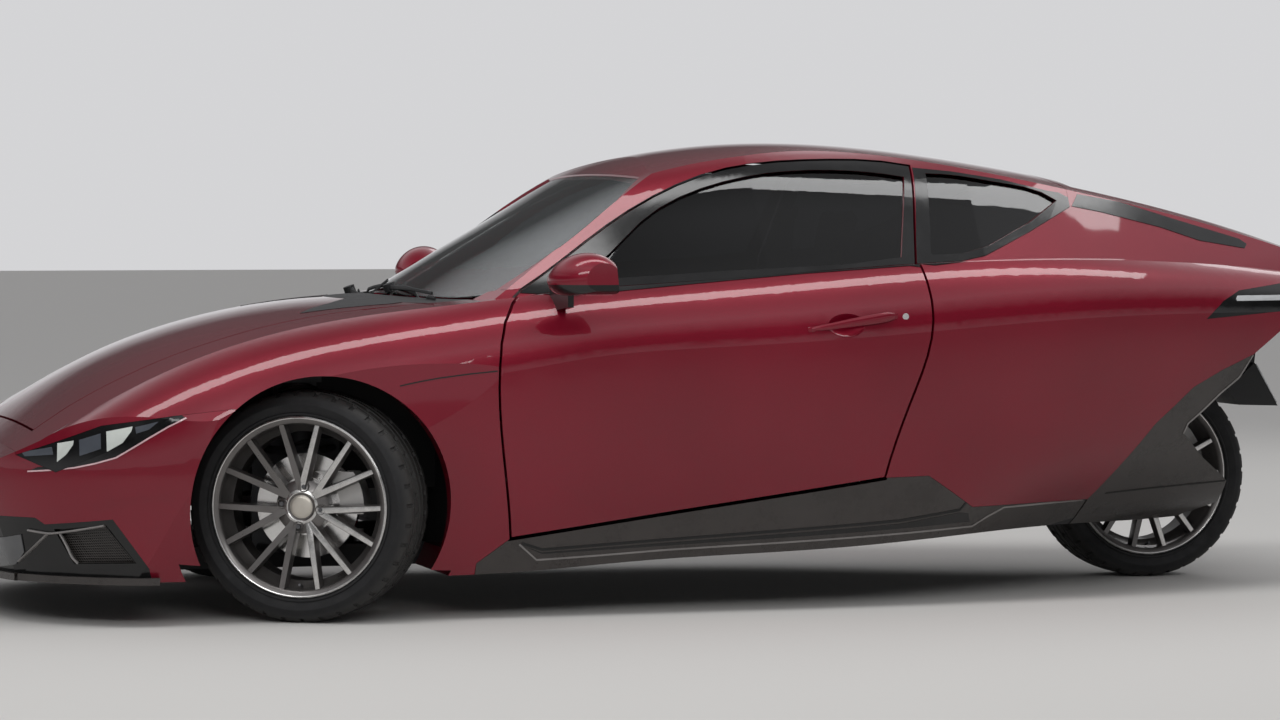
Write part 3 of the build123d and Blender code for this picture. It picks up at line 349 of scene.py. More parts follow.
def addBox(bm, low, high, bevelWidth=0.0, slotNumber=0, turn=None):
    middle = (Vector(low) + Vector(high)) / 2
    size = Vector(high) - Vector(low)
    place = Matrix.Translation(middle) @ (turn or Matrix()) @ Matrix.Diagonal((*size, 1.0))
    made = bmesh.ops.create_cube(bm, size=1.0, matrix=place)["verts"]
    for face in facesOf(made):
        face.material_index = slotNumber
    if bevelWidth:
        edges = list(dict.fromkeys(edge for vert in made for edge in vert.link_edges))
        bmesh.ops.bevel(bm, geom=edges, offset=bevelWidth, offset_type="OFFSET", segments=2,
                        profile=0.5, affect="EDGES", material=-1)


def addCarBox(bm, low, high, bevelWidth, slotNumber=0, turn=None):
    # the same in millimetres along the car
    addBox(bm, alongCar(*low), alongCar(*high), bevelWidth * mm, slotNumber, turn)


def addDrum(bm, centre, radius, depth, axis=(0, 1, 0), segments=32, slotNumber=0, radiusTwo=None):
    turn = Vector((0, 0, 1)).rotation_difference(Vector(axis)).to_matrix().to_4x4()
    made = bmesh.ops.create_cone(bm, cap_ends=True, segments=segments, radius1=radius,
                                 radius2=radius if radiusTwo is None else radiusTwo, depth=depth,
                                 matrix=Matrix.Translation(centre) @ turn)["verts"]
    for face in facesOf(made):
        face.material_index = slotNumber


def loftRings(bm, rings, slots=None):
    # closed rings of points joined one after another; slots gives the finish of a side of the ring
    loops = []
    for ring in rings:
        verts = [bm.verts.new(point) for point in ring]
        loops.append([bm.edges.new(pair) for pair in zip(verts, verts[1:] + verts[:1])])
    faces = []
    for before, after in zip(loops, loops[1:]):
        made = bmesh.ops.bridge_loops(bm, edges=before + after)["faces"]
        faces += made
        for number, slotNumber in (slots or {}).items():
            for face in made:
                if before[number] in face.edges:
                    face.material_index = slotNumber
    for loop in (loops[0], loops[-1]):
        faces += bmesh.ops.contextual_create(bm, geom=loop)["faces"]
    bmesh.ops.recalc_face_normals(bm, faces=faces)


def pathFrames(points):
    # place, level sideways direction and the upright one at each point of a line
    frames = []
    for index, point in enumerate(points):
        run = points[min(index + 1, len(points) - 1)] - points[max(index - 1, 0)]
        run = run.normalized()
        out = run.cross(Vector((0, 0, 1)))
        out = out.normalized() if out.length > 0.001 else Vector((0, -1, 0))
        frames.append((point, out, out.cross(run).normalized()))
    return frames


def tube(bm, points, radii, flat=1.0, sides=10, slots=None):
    # a round or flattened bar along a line of points in metres
    if not isinstance(radii, (list, tuple)):
        radii = [radii] * len(points)
    rings = []
    for (place, out, up), radius in zip(pathFrames(points), radii):
        rings.append([place + out * (radius * flat * math.cos(math.tau * step / sides))
                      + up * (radius * math.sin(math.tau * step / sides)) for step in range(sides)])
    loftRings(bm, rings, slots)


def smoothLine(points, steps=4):
    # points on a smooth curve through the given ones
    ends = [points[0] * 2 - points[1], *points, points[-1] * 2 - points[-2]]
    line = []
    for a, b, c, d in zip(ends, ends[1:], ends[2:], ends[3:]):
        for step in range(steps):
            t = step / steps
            line.append(((b * 2) + (c - a) * t + (a * 2 - b * 5 + c * 4 - d) * t * t
                         + (b * 3 - a - c * 3 + d) * t * t * t) * 0.5)
    return line + [points[-1]]


def ribbon(line, width):
    # the outline of a band of one width along a line
    sides = ([], [])
    for index, (x, z) in enumerate(line):
        x0, z0 = line[max(index - 1, 0)]
        x1, z1 = line[min(index + 1, len(line) - 1)]
        length = math.hypot(x1 - x0, z1 - z0)
        across = (-(z1 - z0) / length, (x1 - x0) / length)
        for side, way in zip(sides, (-0.5, 0.5)):
            side.append((x + across[0] * width * way, z + across[1] * width * way))
    return sides[0] + sides[1][::-1]


def insideOutline(x, z, outline):
    inside = False
    for (x0, z0), (x1, z1) in zip(outline, outline[1:] + outline[:1]):
        if (z0 > z) != (z1 > z) and x < (x1 - x0) * (z - z0) / (z1 - z0) + x0:
            inside = not inside
    return inside


def cutAcross(bm, place, normal):
    bmesh.ops.bisect_plane(bm, geom=[*bm.verts, *bm.edges, *bm.faces], dist=0.00001,
                           plane_co=place, plane_no=normal)


def thickened(bm, lift, thickness):
    # an open skin raised off its node, with its thickness below it
    bm.normal_update()
    for vert in bm.verts:
        vert.co += vert.normal * (lift + thickness)
    bmesh.ops.solidify(bm, geom=list(bm.faces), thickness=thickness)
    bmesh.ops.recalc_face_normals(bm, faces=bm.faces)


skin = {"side": (0, -1, 0), "inside": (0, 1, 0), "above": (0, 0, 1), "below": (0, 0, -1),
        "bodies": {"left_door": "left_door_body", "bonnet": "bonnet_body"}, "least": 0.1,
        "middle": -0.05}


def skinPatch(name, nodeName, finish, outline, lift=0.6, thick=1.0, way="side", width=0):
    # a thin skin over the part of a node inside an outline, in millimetres: x and z from the front
    # axle as seen from the side or inside, x and y from above or below; a width makes a line a band
    bm = meshOf(nodeName)
    toward = Vector(skin[way])
    second = 2 if toward.y else 1
    if width:
        outline = ribbon(outline, width)
    points = [(a * mm + car["axle"], b * mm) for a, b in outline]
    bounds = [(min(values), max(values)) for values in zip(*points)]
    kept = set()
    for face in bm.faces:
        # side views are drawn for the left of the car only
        if face.normal.dot(toward) < skin["least"] or (
                toward.y and face.calc_center_median().y > skin["middle"]):
            continue
        corners = [(vert.co.x, vert.co[second]) for vert in face.verts]
        spans = [(min(values), max(values)) for values in zip(*corners)]
        if all(high > low0 and low < high0 for (low, high), (low0, high0) in zip(spans, bounds)):
            kept.add(face)
    bmesh.ops.delete(bm, geom=[face for face in bm.faces if face not in kept], context="FACES")
    for (a0, b0), (a1, b1) in zip(points, points[1:] + points[:1]):
        place, normal = [0.0, 0.0, 0.0], [0.0, 0.0, 0.0]
        place[0], place[second] = a0, b0
        normal[0], normal[second] = b1 - b0, a0 - a1
        cutAcross(bm, place, normal)
    outside = []
    for face in bm.faces:
        centre = face.calc_center_median()
        if not insideOutline(centre.x, centre[second], points):
            outside.append(face)
    bmesh.ops.delete(bm, geom=outside, context="FACES")
    thickened(bm, lift * mm, thick * mm)
    piece = makePiece(name, bm, skin["bodies"].get(nodeName, "body"), finish)
    if name.startswith("left"):
        bothSides(piece)


view = {"at": (-3.4711, -11.7635, 1.1106), "yaw": 16.0, "down": 2.103, "lens": 118.44}


def setCamera():
    cam = bpy.data.objects.new("camera", bpy.data.cameras.new("camera"))
    bpy.context.scene.collection.objects.link(cam)
    yaw, down = math.radians(view["yaw"]), math.radians(view["down"])
    ahead = Vector((math.sin(yaw) * math.cos(down), math.cos(yaw) * math.cos(down),
                    -math.sin(down)))
    cam.location = view["at"]
    cam.rotation_euler = ahead.to_track_quat("-Z", "Y").to_euler()
    cam.data.lens, cam.data.sensor_width = view["lens"], 36.0
    cam.data.clip_end = 200.0
    bpy.context.scene.camera = cam


studio = {
    "floor": (0.58, 0.57, 0.55), "floorSize": 60.0,
    # pale at eye height, where the camera looks, darker above it and bright overhead
    "sky": ((0.05, 0.66, 1.02), (0.16, 0.07, 1.02), (0.34, 0.07, 1.02), (0.62, 0.95, 1.03),
            (1.0, 0.20, 1.0)),
    # place, size and power
    "lamps": {"overhead": ((0.3, -1.6, 5.2), (9.0, 1.0), 170.0),
              "sideSoft": ((-3.0, -7.5, 4.0), (8.0, 0.9), 150.0),
              "rearSoft": ((4.5, 5.5, 4.6), (5.0, 2.5), 60.0)},
    "aim": (0.2, 0, 0.5),
}


def setStudio():
    bm = bmesh.new()
    bmesh.ops.create_grid(bm, x_segments=2, y_segments=2, size=studio["floorSize"])
    mesh = bpy.data.meshes.new("floor")
    bm.to_mesh(mesh)
    bm.free()
    floor = bpy.data.objects.new("floor", mesh)
    bpy.context.scene.collection.objects.link(floor)
    ground = Finish("floorFinish")
    speckle = ground.noise(120.0, 4.0, 0.7)
    pale = rgb(*studio["floor"])
    ground.feed("Base Color", ground.blendColour(speckle, scaled(pale, 0.93), pale))
    ground.feed("Roughness", ground.ramp(speckle, 0.3, 0.7, 0.75, 0.9))
    mesh.materials.append(ground.material)

    world = bpy.data.worlds.new("world")
    bpy.context.scene.world = world
    world.use_nodes = True
    tree = world.node_tree
    where = tree.nodes.new("ShaderNodeTexCoord")
    parts = tree.nodes.new("ShaderNodeSeparateXYZ")
    ramp = tree.nodes.new("ShaderNodeValToRGB")
    tree.links.new(where.outputs["Generated"], parts.inputs[0])
    tree.links.new(parts.outputs["Z"], ramp.inputs[0])
    stops = ramp.color_ramp.elements
    for stop, number in ((stops[0], 0), (stops[1], -1)):
        stop.position = studio["sky"][number][0]
    for position, level, blue in studio["sky"][1:-1]:
        stops.new(position)
    for stop, (position, level, blue) in zip(stops, studio["sky"]):
        stop.color = (level, level, level * blue, 1)
    tree.links.new(ramp.outputs[0], tree.nodes["Background"].inputs[0])

    for name, (place, size, power) in studio["lamps"].items():
        lamp = bpy.data.lights.new(name, "AREA")
        lamp.shape, lamp.size, lamp.size_y = "RECTANGLE", *size
        lamp.energy = power
        panel = bpy.data.objects.new(name, lamp)
        panel.location = place
        aim = Vector(studio["aim"]) - Vector(place)
        panel.rotation_euler = aim.to_track_quat("-Z", "Y").to_euler()
        bpy.context.scene.collection.objects.link(panel)
    bpy.context.scene.view_settings.view_transform = "Standard"


setCamera()
setStudio()
print("camera and studio ready")


nodeFinish = {
    "paintRed": ("body_frame", "left_fender", "right_fender", "left_quarter", "right_quarter",
                 "front_bumper", "tail_panel", "bonnet", "left_door", "right_door", "hatch"),
    "mirrorPaint": ("left_mirror", "right_mirror"),
    "glossBlack": ("front_grille", "headlamps", "tail_lamp"),
    "blackPlastic": ("cowl_panel", "plate_bracket", "front_trunk"),
    "satinGrey": ("side_sills", "rear_fairings"),
    "screenGlass": ("windscreen",),
    "tintedGlass": ("quarter_glass", "left_door_glass", "right_door_glass"),
    "darkGlass": ("hatch_glass",),
    "leather": ("left_seat", "right_seat", "steering_wheel"),
    "dashPlastic": ("dashboard",),
    "underBody": ("floor_tub", "battery_block", "drive_motor"),
    "castSteel": ("front_subframe", "swing_arm", "tie_rods"),
    "caliperGrey": ("left_knuckle", "right_knuckle"),
    "rimGrey": ("left_rim", "right_rim", "rear_rim"),
    "brightMetal": ("left_disc", "right_disc", "rear_hub"),
}
for word, names in nodeFinish.items():
    for nodeName in names:
        mesh = frame["nodes"][nodeName].data
        mesh.materials.clear()
        mesh.materials.append(finishes[word])


def wheelPlace(side):
    # from a wheel drawn round the origin, outside towards -Y, to its place on the car
    if side == 0:
        return Matrix.Translation((car["axle"] + car["wheelbase"], 0, car["wheelHeight"]))
    turned = (Matrix.Rotation(car["steer"], 4, "Z")
              @ Matrix.Translation((0, side * car["wheelOut"], 0)))
    if side > 0:
        turned = turned @ Matrix.Scale(-1, 4, (0, 1, 0))
    return Matrix.Translation((car["axle"], side * car["kingpin"], car["wheelHeight"])) @ turned


def wheelAxis(side):
    # the middle of a wheel and the turn that its finish takes back
    return wheelPlace(side) @ Vector(), (0, 0, -car["steer"] if side else 0)


tyre = {
    "radius": 0.309, "half": 0.1075, "bead": 0.2285, "pitch": 144, "groove": 0.0065,
    "cutEdge": 0.0022,
    # shoulder cuts and sipes: which pitch of four, how far below the tread they begin, from and
    # to across the tyre, and how deep
    "cuts": ((0, 0.0125, 0.070, 0.0995, 0.005), (2, 0.003, 0.026, 0.052, 0.004)),
}


def makeTyre(name, side, body, node):
    r, w, bead, deep = (tyre[word] for word in ("radius", "half", "bead", "groove"))
    outer = [
        (bead, -w + 0.040), (bead + 0.001, -w + 0.020), (bead + 0.0150, -w + 0.0105),
        (bead + 0.0185, -w + 0.0035), (bead + 0.0225, -w + 0.0030), (bead + 0.0245, -w + 0.0062),
        (bead + 0.034, -w + 0.0022), (r - 0.036, -w), (r - 0.0345, -w - 0.0004),
        (r - 0.033, -w + 0.0002), (r - 0.020, -w + 0.0034), (r - 0.0125, -w + 0.0078),
        (r - 0.0065, -w + 0.0145), (r - 0.0026, -w + 0.0235), (r - 0.0014, -w + 0.036),
    ]
    tread = [
        (r - 0.0014, -0.0640), (r - 0.001 - deep, -0.0625), (r - 0.001 - deep, -0.0555),
        (r - 0.0007, -0.0540), (r - 0.0004, -0.0240), (r - deep, -0.0225), (r - deep, -0.0135),
        (r, -0.0120),
    ]
    half = outer + tread
    profile = half + [(radius, -y) for radius, y in reversed(half)]
    inner = [(bead + 0.012, w - 0.044), (r - 0.024, w - 0.03), (r - 0.020, 0.0),
             (r - 0.024, -w + 0.03), (bead + 0.012, -w + 0.044)]
    bm = spun(profile + inner + profile[:1], steps=tyre["pitch"])
    step = math.tau / tyre["pitch"]
    notches = [[] for cut in tyre["cuts"]]
    for face in bm.faces:
        centre = face.calc_center_median()
        reach = math.hypot(centre.x, centre.z)
        number = round((math.atan2(centre.z, centre.x) - step / 2) / step) % 4
        for faces, (which, below, start, end, sink) in zip(notches, tyre["cuts"]):
            if number == which and reach > r - below and start < abs(centre.y) < end:
                faces.append(face)
    for faces, (which, below, start, end, sink) in zip(notches, tyre["cuts"]):
        bmesh.ops.inset_region(bm, faces=faces, thickness=tyre["cutEdge"], depth=0.0,
                               use_even_offset=True)
        for vert in {vert for face in faces for vert in face.verts}:
            vert.co -= Vector((vert.co.x, 0, vert.co.z)).normalized() * sink
    bmesh.ops.transform(bm, matrix=wheelPlace(side), verts=bm.verts)
    bmesh.ops.recalc_face_normals(bm, faces=bm.faces)
    word = name + "Rubber"
    finishes[word] = rubberFinish(word, *wheelAxis(side))
    piece = makePiece(name, bm, body, word, smooth=40)
    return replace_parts(piece, node)


rim = {
    "pairs": 7, "lip": 0.243, "lugs": 4, "lugCircle": 0.054, "lugTurn": math.radians(8),
    "colour": rgb(0.66, 0.65, 0.635),
    # the spokes' half widths and places along the axle, at the hub and at the rim
    "face": ((0.0092, -0.0780), (0.0068, -0.0945)), "foot": ((0.0135, -0.044), (0.0095, -0.066)),
    "spokeFrom": 0.046, "spokeTo": 0.0175, "spokeEdge": 0.0011,
    "hub": [(0.0, -0.0745), (0.0335, -0.0745), (0.037, -0.0772), (0.0395, -0.0785),
            (0.046, -0.0765), (0.066, -0.0705), (0.072, -0.066), (0.0725, -0.0405), (0.0, -0.0405)],
    "hubBright": (0.036, 0.047),
    "collar": [(0.0080, -0.0600), (0.0118, -0.0790), (0.0132, -0.0802), (0.0146, -0.0785),
               (0.0150, -0.060)],
    "cap": [(0.0, -0.0808), (0.012, -0.0806), (0.022, -0.0798), (0.0295, -0.0782),
            (0.0312, -0.0765), (0.0316, -0.070)],
}


def addSpoke(bm, inAngle, outAngle):
    # a bar from the hub to the rim whose bright face is slot 1
    near, far = rim["spokeFrom"], rim["lip"] - rim["spokeTo"]
    start = Vector((near * math.sin(inAngle), 0, near * math.cos(inAngle)))
    end = Vector((far * math.sin(outAngle), 0, far * math.cos(outAngle)))
    across = (end - start).normalized().cross(Vector((0, 1, 0)))
    made = bmesh.ops.create_cube(bm, size=1.0)["verts"]
    for vert in made:
        atRim, way = vert.co.x > 0, 1 if vert.co.z > 0 else -1
        half, y = rim["face" if vert.co.y < 0 else "foot"][atRim]
        vert.co = (end if atRim else start) + across * half * way + Vector((0, y, 0))
    faces = facesOf(made)
    bmesh.ops.recalc_face_normals(bm, faces=faces)
    for face in faces:
        face.material_index = 1 if face.normal.y < -0.9 else 0
    edges = [edge for face in faces for edge in face.edges if face.material_index == 1]
    bmesh.ops.bevel(bm, geom=edges, offset=rim["spokeEdge"], offset_type="OFFSET", segments=2,
                    profile=0.5, affect="EDGES", material=0)


def makeRim(name, side, body, node, pairTurn=0.0):
    lip = rim["lip"]
    w = tyre["half"] - 0.008
    profile = [
        (lip - 0.0006, -w - 0.0005), (lip + 0.0002, -w + 0.0015), (lip - 0.001, -w + 0.0040),
        (lip - 0.013, -w + 0.008), (lip - 0.0145, -w + 0.010), (lip - 0.016, -w + 0.034),
        (lip - 0.034, -w + 0.050), (lip - 0.034, 0.030), (lip - 0.016, 0.050),
        (lip - 0.0145, w - 0.010), (lip - 0.0005, w - 0.002), (lip - 0.0005, w + 0.004),
        (lip - 0.020, w), (lip - 0.025, 0.056), (lip - 0.043, 0.034), (lip - 0.043, -w + 0.058),
        (lip - 0.027, -w + 0.040), (lip - 0.0215, -w + 0.022), (lip - 0.0205, -w + 0.006),
        (lip - 0.0175, -w + 0.0022), (lip - 0.0068, -w - 0.0022), (lip - 0.0045, -w - 0.0030),
        (lip - 0.0006, -w - 0.0005),
    ]
    bm = spun(profile, steps=120)
    for face in bm.faces:
        centre = face.calc_center_median()
        bright = centre.y < -w + 0.0015 and math.hypot(centre.x, centre.z) > lip - 0.0078
        face.material_index = 1 if bright else 0
    for pair in range(rim["pairs"]):
        middle = math.tau * pair / rim["pairs"] + pairTurn
        for way in (-1, 1):
            addSpoke(bm, middle, middle + way * math.tau / rim["pairs"] / 4)
    hub = spun(rim["hub"], steps=64)
    for face in hub.faces:
        centre = face.calc_center_median()
        low, high = rim["hubBright"]
        if face.normal.y < -0.7 and low < math.hypot(centre.x, centre.z) < high:
            face.material_index = 1
    joinInto(bm, hub)
    for lug in range(rim["lugs"]):
        angle = math.tau * lug / rim["lugs"] + rim["lugTurn"] + pairTurn
        x, z = rim["lugCircle"] * math.sin(angle), rim["lugCircle"] * math.cos(angle)
        joinInto(bm, spun(rim["collar"], steps=28, centre=(x, 0, z)))
        addDrum(bm, (x, -0.0730, z), 0.0078, 0.016, axis=(0, -1, 0), segments=6, slotNumber=2,
                radiusTwo=0.0062)
    cap = spun(rim["cap"], steps=48)
    for face in cap.faces:
        face.material_index = 3
    joinInto(bm, cap)
    # valve stem, just inside the lip
    addDrum(bm, (0.0, -0.082, -(lip - 0.033)), 0.0035, 0.028, axis=(0, -1, 0.25), segments=12,
            slotNumber=2)
    bmesh.ops.transform(bm, matrix=wheelPlace(side), verts=bm.verts)
    if side > 0:
        bmesh.ops.reverse_faces(bm, faces=bm.faces)
    word = name + "Cut"
    finishes[word] = turnedFinish(word, rim["colour"], *wheelAxis(side))
    piece = makePiece(name, bm, body, "rimGrey", word, "castSteel", "capGrey", smooth=35)
    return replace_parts(piece, node)


for side, word in ((-1, "left"), (1, "right")):
    makeTyre(word + "Tyre", side, word + "_wheel", word + "_tyre")
    makeRim(word + "Rim", side, word + "_wheel", word + "_rim")
makeTyre("rearTyre", 0, "rear_wheel", "rear_tyre")
makeRim("rearRim", 0, "rear_wheel", "rear_rim", pairTurn=math.tau / rim["pairs"] / 2)
print("wheels done")


lampEdge = [(-762, 408), (-711, 413), (-653, 421), (-603, 433), (-552, 449), (-507, 477),
            (-469, 501), (-421, 530), (-375, 553)]
pressed, facet = {"lift": 0.3}, {"lift": 0.2, "thick": 1.2}
outsideSkins = {
    "leftWindowFrame": ("left_door", "glossBlack", [
        (540, 874), (565, 890), (713, 986), (858, 1082), (1001, 1158), (1160, 1214), (1303, 1237),
        (1484, 1246), (1654, 1242), (1750, 1230), (1694, 938), (1654, 943), (1335, 922),
        (1048, 898), (797, 876), (700, 866)], {}),
    "leftPillarTrim": ("body_frame", "glossBlack", [
        (1686, 936), (1727, 940), (1814, 949), (1902, 965), (2064, 1032), (2215, 1102),
        (2230, 1125), (2190, 1146), (2150, 1152), (2007, 1184), (1857, 1206), (1744, 1216)], {}),
    "leftFastbackStrip": ("left_quarter", "glossBlack", [
        (2222, 1108), (2313, 1092), (2506, 1048), (2634, 1009), (2789, 986), (2800, 998),
        (2777, 1013), (2579, 1066), (2388, 1120), (2250, 1142)], {}),
    # creases pressed into the panels with a painted shadow under the fender's crease, and painted
    # highlights along the edges of the sill
    # painted shadow: a thin black band under the fender's crease
    "leftFenderCrease": ("left_fender", "sealRubber", [
        (192, 632), (246, 643), (300, 652), (382, 662), (458, 669)],
        {**pressed, "thick": 0.4, "width": 3.5}),
    "leftBumperCrease": ("front_bumper", "paintRed", [
        (-608, 321), (-560, 331), (-518, 338), (-421, 349)], {**pressed, "thick": 1.6, "width": 8}),
    # painted highlight: a pale grey band along the sill's edge
    "leftSillEdge": ("side_sills", "edgeGrey", [
        (530, 200), (581, 156), (760, 164), (945, 174), (1300, 188), (1632, 202), (1873, 212),
        (1923, 239), (1973, 262), (2260, 270)], {**pressed, "thick": 1.2, "width": 5}),
    "leftSillBead": ("side_sills", "sealRubber", [
        (536, 203), (595, 184), (1030, 207), (1628, 239), (1818, 262), (1842, 290)],
        {**pressed, "thick": 0.8, "width": 7}),
    "leftFairingLine": ("rear_fairings", "sealRubber", [
        (2334, 286), (2480, 294), (2620, 301), (2760, 307)], {**pressed, "thick": 0.8, "width": 4}),
    # painted highlight: a pale grey band where the fairing's rolled edge catches the light
    "leftFairingEdge": ("rear_fairings", "edgeGrey", [
        (2540, 459), (2547, 487), (2590, 525), (2640, 572), (2699, 617), (2742, 680)],
        {**pressed, "thick": 2.0, "width": 9}),
    # painted shade: a gloss black band in the gap between the sill's grey panel and its blade
    "leftSillChannel": ("side_sills", "glossBlack", [
        (540, 196), (595, 172), (945, 186), (1628, 216), (1860, 226), (1850, 250), (1818, 254),
        (1628, 230), (1030, 198), (595, 176)], {"lift": 0.2, "thick": 0.6}),
    # headlamps: pale facets in the black housing, and a painted highlight along the lower edge
    "leftLampFacetA": ("headlamps", "lensPale", [
        (-692, 484), (-653, 492), (-655, 481), (-672, 455), (-694, 435)], facet),
    "leftLampFacetB": ("headlamps", "lensPale", [
        (-574, 517), (-509, 531), (-513, 518), (-535, 488), (-574, 464)], facet),
    "leftLampFacetC": ("headlamps", "lensDim", [
        (-503, 529), (-444, 544), (-469, 523), (-501, 512)], facet),
    "leftLampFacetD": ("headlamps", "lensDim", [
        (-640, 494), (-588, 512), (-588, 472), (-640, 452)], facet),
    "leftLampBar": ("headlamps", "lensDim", [
        (-776, 458), (-706, 474), (-703, 454), (-769, 447)], facet),
    "leftLampShade": ("front_bumper", "glossBlack", [
        *lampEdge, (-395, 566), (-539, 498), (-698, 424), (-740, 420)],
        {"lift": 0.2, "thick": 0.8}),
    # painted highlight: a pale pink band along the lamp's lower edge
    "leftLampRim": ("front_bumper", "lampRim", lampEdge, {"thick": 1.2, "width": 4}),
    # black under the wipers, on the rear of the bonnet
    "bonnetCowl": ("bonnet", "blackPlastic", [
        (8, -444), (60, -360), (124, -286), (215, -128), (222, 0), (215, 128), (124, 286),
        (60, 360), (8, 444), (250, 520), (345, 470), (345, -470), (250, -520)],
        {**pressed, "way": "above"}),
}
for name, (nodeName, finish, outline, rest) in outsideSkins.items():
    skinPatch(name, nodeName, finish, outline, **rest)
print("skin trim done")

vent = {
    "fin": 3.4, "mesh": 0.0016, "across": 26, "down": 14,
    "fins": ([(-759, -608, 250), (-713, -655, 244), (-680, -680, 248), (-630, -722, 258),
              (-580, -760, 269)],
             [(-713, -656, 244), (-745, -608, 204), (-776, -549, 163)],
             [(-684, -674, 244), (-668, -684, 212), (-655, -692, 182), (-641, -698, 166)]),
    # the mesh's corners, a little inside the pocket's mouth
    "corners": ((-697, -653, 254), (-578, -743, 268), (-503, -773, 172), (-648, -679, 167)),
}


def makeVent():
    # fins and a wire mesh in the pocket beside the nose
    bm = bmesh.new()
    for line in vent["fins"]:
        tube(bm, smoothLine([alongCar(*point) for point in line], 3), vent["fin"] * mm, flat=2.0,
             sides=8)
    bothSides(makePiece("leftVentFins", bm, "body", "edgeGrey"))
    corners = [alongCar(*point) for point in vent["corners"]]
    bm = bmesh.new()
    bmesh.ops.create_grid(bm, x_segments=vent["across"], y_segments=vent["down"], size=0.5)
    for vert in bm.verts:
        u, v = vert.co.x + 0.5, vert.co.y + 0.5
        vert.co = corners[3].lerp(corners[2], u).lerp(corners[0].lerp(corners[1], u), v)
    bmesh.ops.wireframe(bm, faces=bm.faces, thickness=vent["mesh"], use_replace=True,
                        use_even_offset=True)
    bothSides(makePiece("leftVentMesh", bm, "body", "satinGrey"))


makeVent()
skinPatch("leftNoseBlock", "front_grille", "glossGrey", [
    (-820, 225), (-774, 238), (-764, 190), (-781, 155), (-814, 143), (-900, 140),
    (-900, 232)], thick=3)

splitter = {
    "line": [(-890, 0), (-872, -240), (-790, -520), (-769, -550), (-694, -647), (-636, -698),
             (-576, -745), (-493, -787), (-440, -793)],
    # its section, outward and upward in millimetres; the line's outward side is negative
    "low": 112, "section": [(10, 0), (-12, 1), (-16.5, 4), (-16.5, 15), (-13, 19), (10, 19)],
    "brightSide": 2,
}


def makeSplitter():
    half = [alongCar(x, y, splitter["low"]) for x, y in splitter["line"]]
    line = smoothLine([Vector((p.x, -p.y, p.z)) for p in reversed(half[1:])] + half, 3)
    bm = bmesh.new()
    loftRings(bm, [[place + out * (away * mm) + Vector((0, 0, rise * mm))
                    for away, rise in splitter["section"]]
                   for place, out, up in pathFrames(line)], {splitter["brightSide"]: 1})
    makePiece("splitter", bm, "body", "satinGrey", "edgeGrey")


makeSplitter()

handle = {"line": [(1338, 773), (1380, 779), (1450, 790), (1520, 800), (1560, 806), (1578, 807)],
          "half": [4.5, 8, 11.5, 13.5, 13, 9], "proud": [2, 7, 10, 10, 8, 2], "lock": (1612, 806)}


def makeHandle():
    ray = surfaceOf("left_door")

    def onDoor(x, z):
        return ray(alongCar(x, -1500, z), (0, 1, 0))
    line = handle["line"]
    ends = [onDoor(*line[0]), onDoor(*line[-1])]
    points = []
    for (x, z), proud in zip(line, handle["proud"]):
        part = (x - line[0][0]) / (line[-1][0] - line[0][0])
        y = ends[0].y + (ends[1].y - ends[0].y) * part
        points.append(Vector((x * mm + car["axle"], y - proud * mm, z * mm)))
    bm = bmesh.new()
    tube(bm, points, [half * mm for half in handle["half"]], flat=0.42, sides=16)
    for place in (points[0], points[-1]):
        addBox(bm, place + Vector((-0.010, -0.001, -0.007)), place + Vector((0.010, 0.018, 0.007)),
               0.002)
    # key lock behind the bar
    addDrum(bm, onDoor(*handle["lock"]) + Vector((0, 0.0005, 0)), 0.009, 0.004, segments=28,
            slotNumber=1)
    bothSides(makePiece("leftHandle", bm, "left_door_body", "paintRed", "brightMetal"))


makeHandle()

# tail: a white bar in the black housing, and a red band on its rear face
tailLamp = {"middle": 1.2, "start": 1.478, "flattest": 0.75, "outward": 0.05, "rearward": 0.45,
            "bar": (838, 853), "red": (804, 826)}


def lampBand(name, low, high, finish, least=-1.0):
    bm = meshOf("tail_lamp")
    for level in (low, high):
        cutAcross(bm, (0, 0, level * mm), (0, 0, 1))
    gone = []
    for face in bm.faces:
        centre, normal = face.calc_center_median(), face.normal
        outward = normal.x * (centre.x - tailLamp["middle"]) + normal.y * centre.y
        inBand = low * mm < centre.z < high * mm and abs(normal.z) < tailLamp["flattest"]
        if not (inBand and outward >= tailLamp["outward"] and normal.x >= least
                and centre.x >= tailLamp["start"]):
            gone.append(face)
    bmesh.ops.delete(bm, geom=gone, context="FACES")
    thickened(bm, 0.0002, 0.0014)
    makePiece(name, bm, "body", finish)


lampBand("tailBar", *tailLamp["bar"], "lampWhite")
lampBand("tailRed", *tailLamp["red"], "lampRed", least=tailLamp["rearward"])

plate = {"half": 0.108, "tall": 0.135, "middle": (3031, 0, 574), "lean": 30.4, "rim": 0.004,
         "back": 0.0008, "face": 0.0028, "front": 0.0042, "edge": 0.0006, "bolts": 0.07}


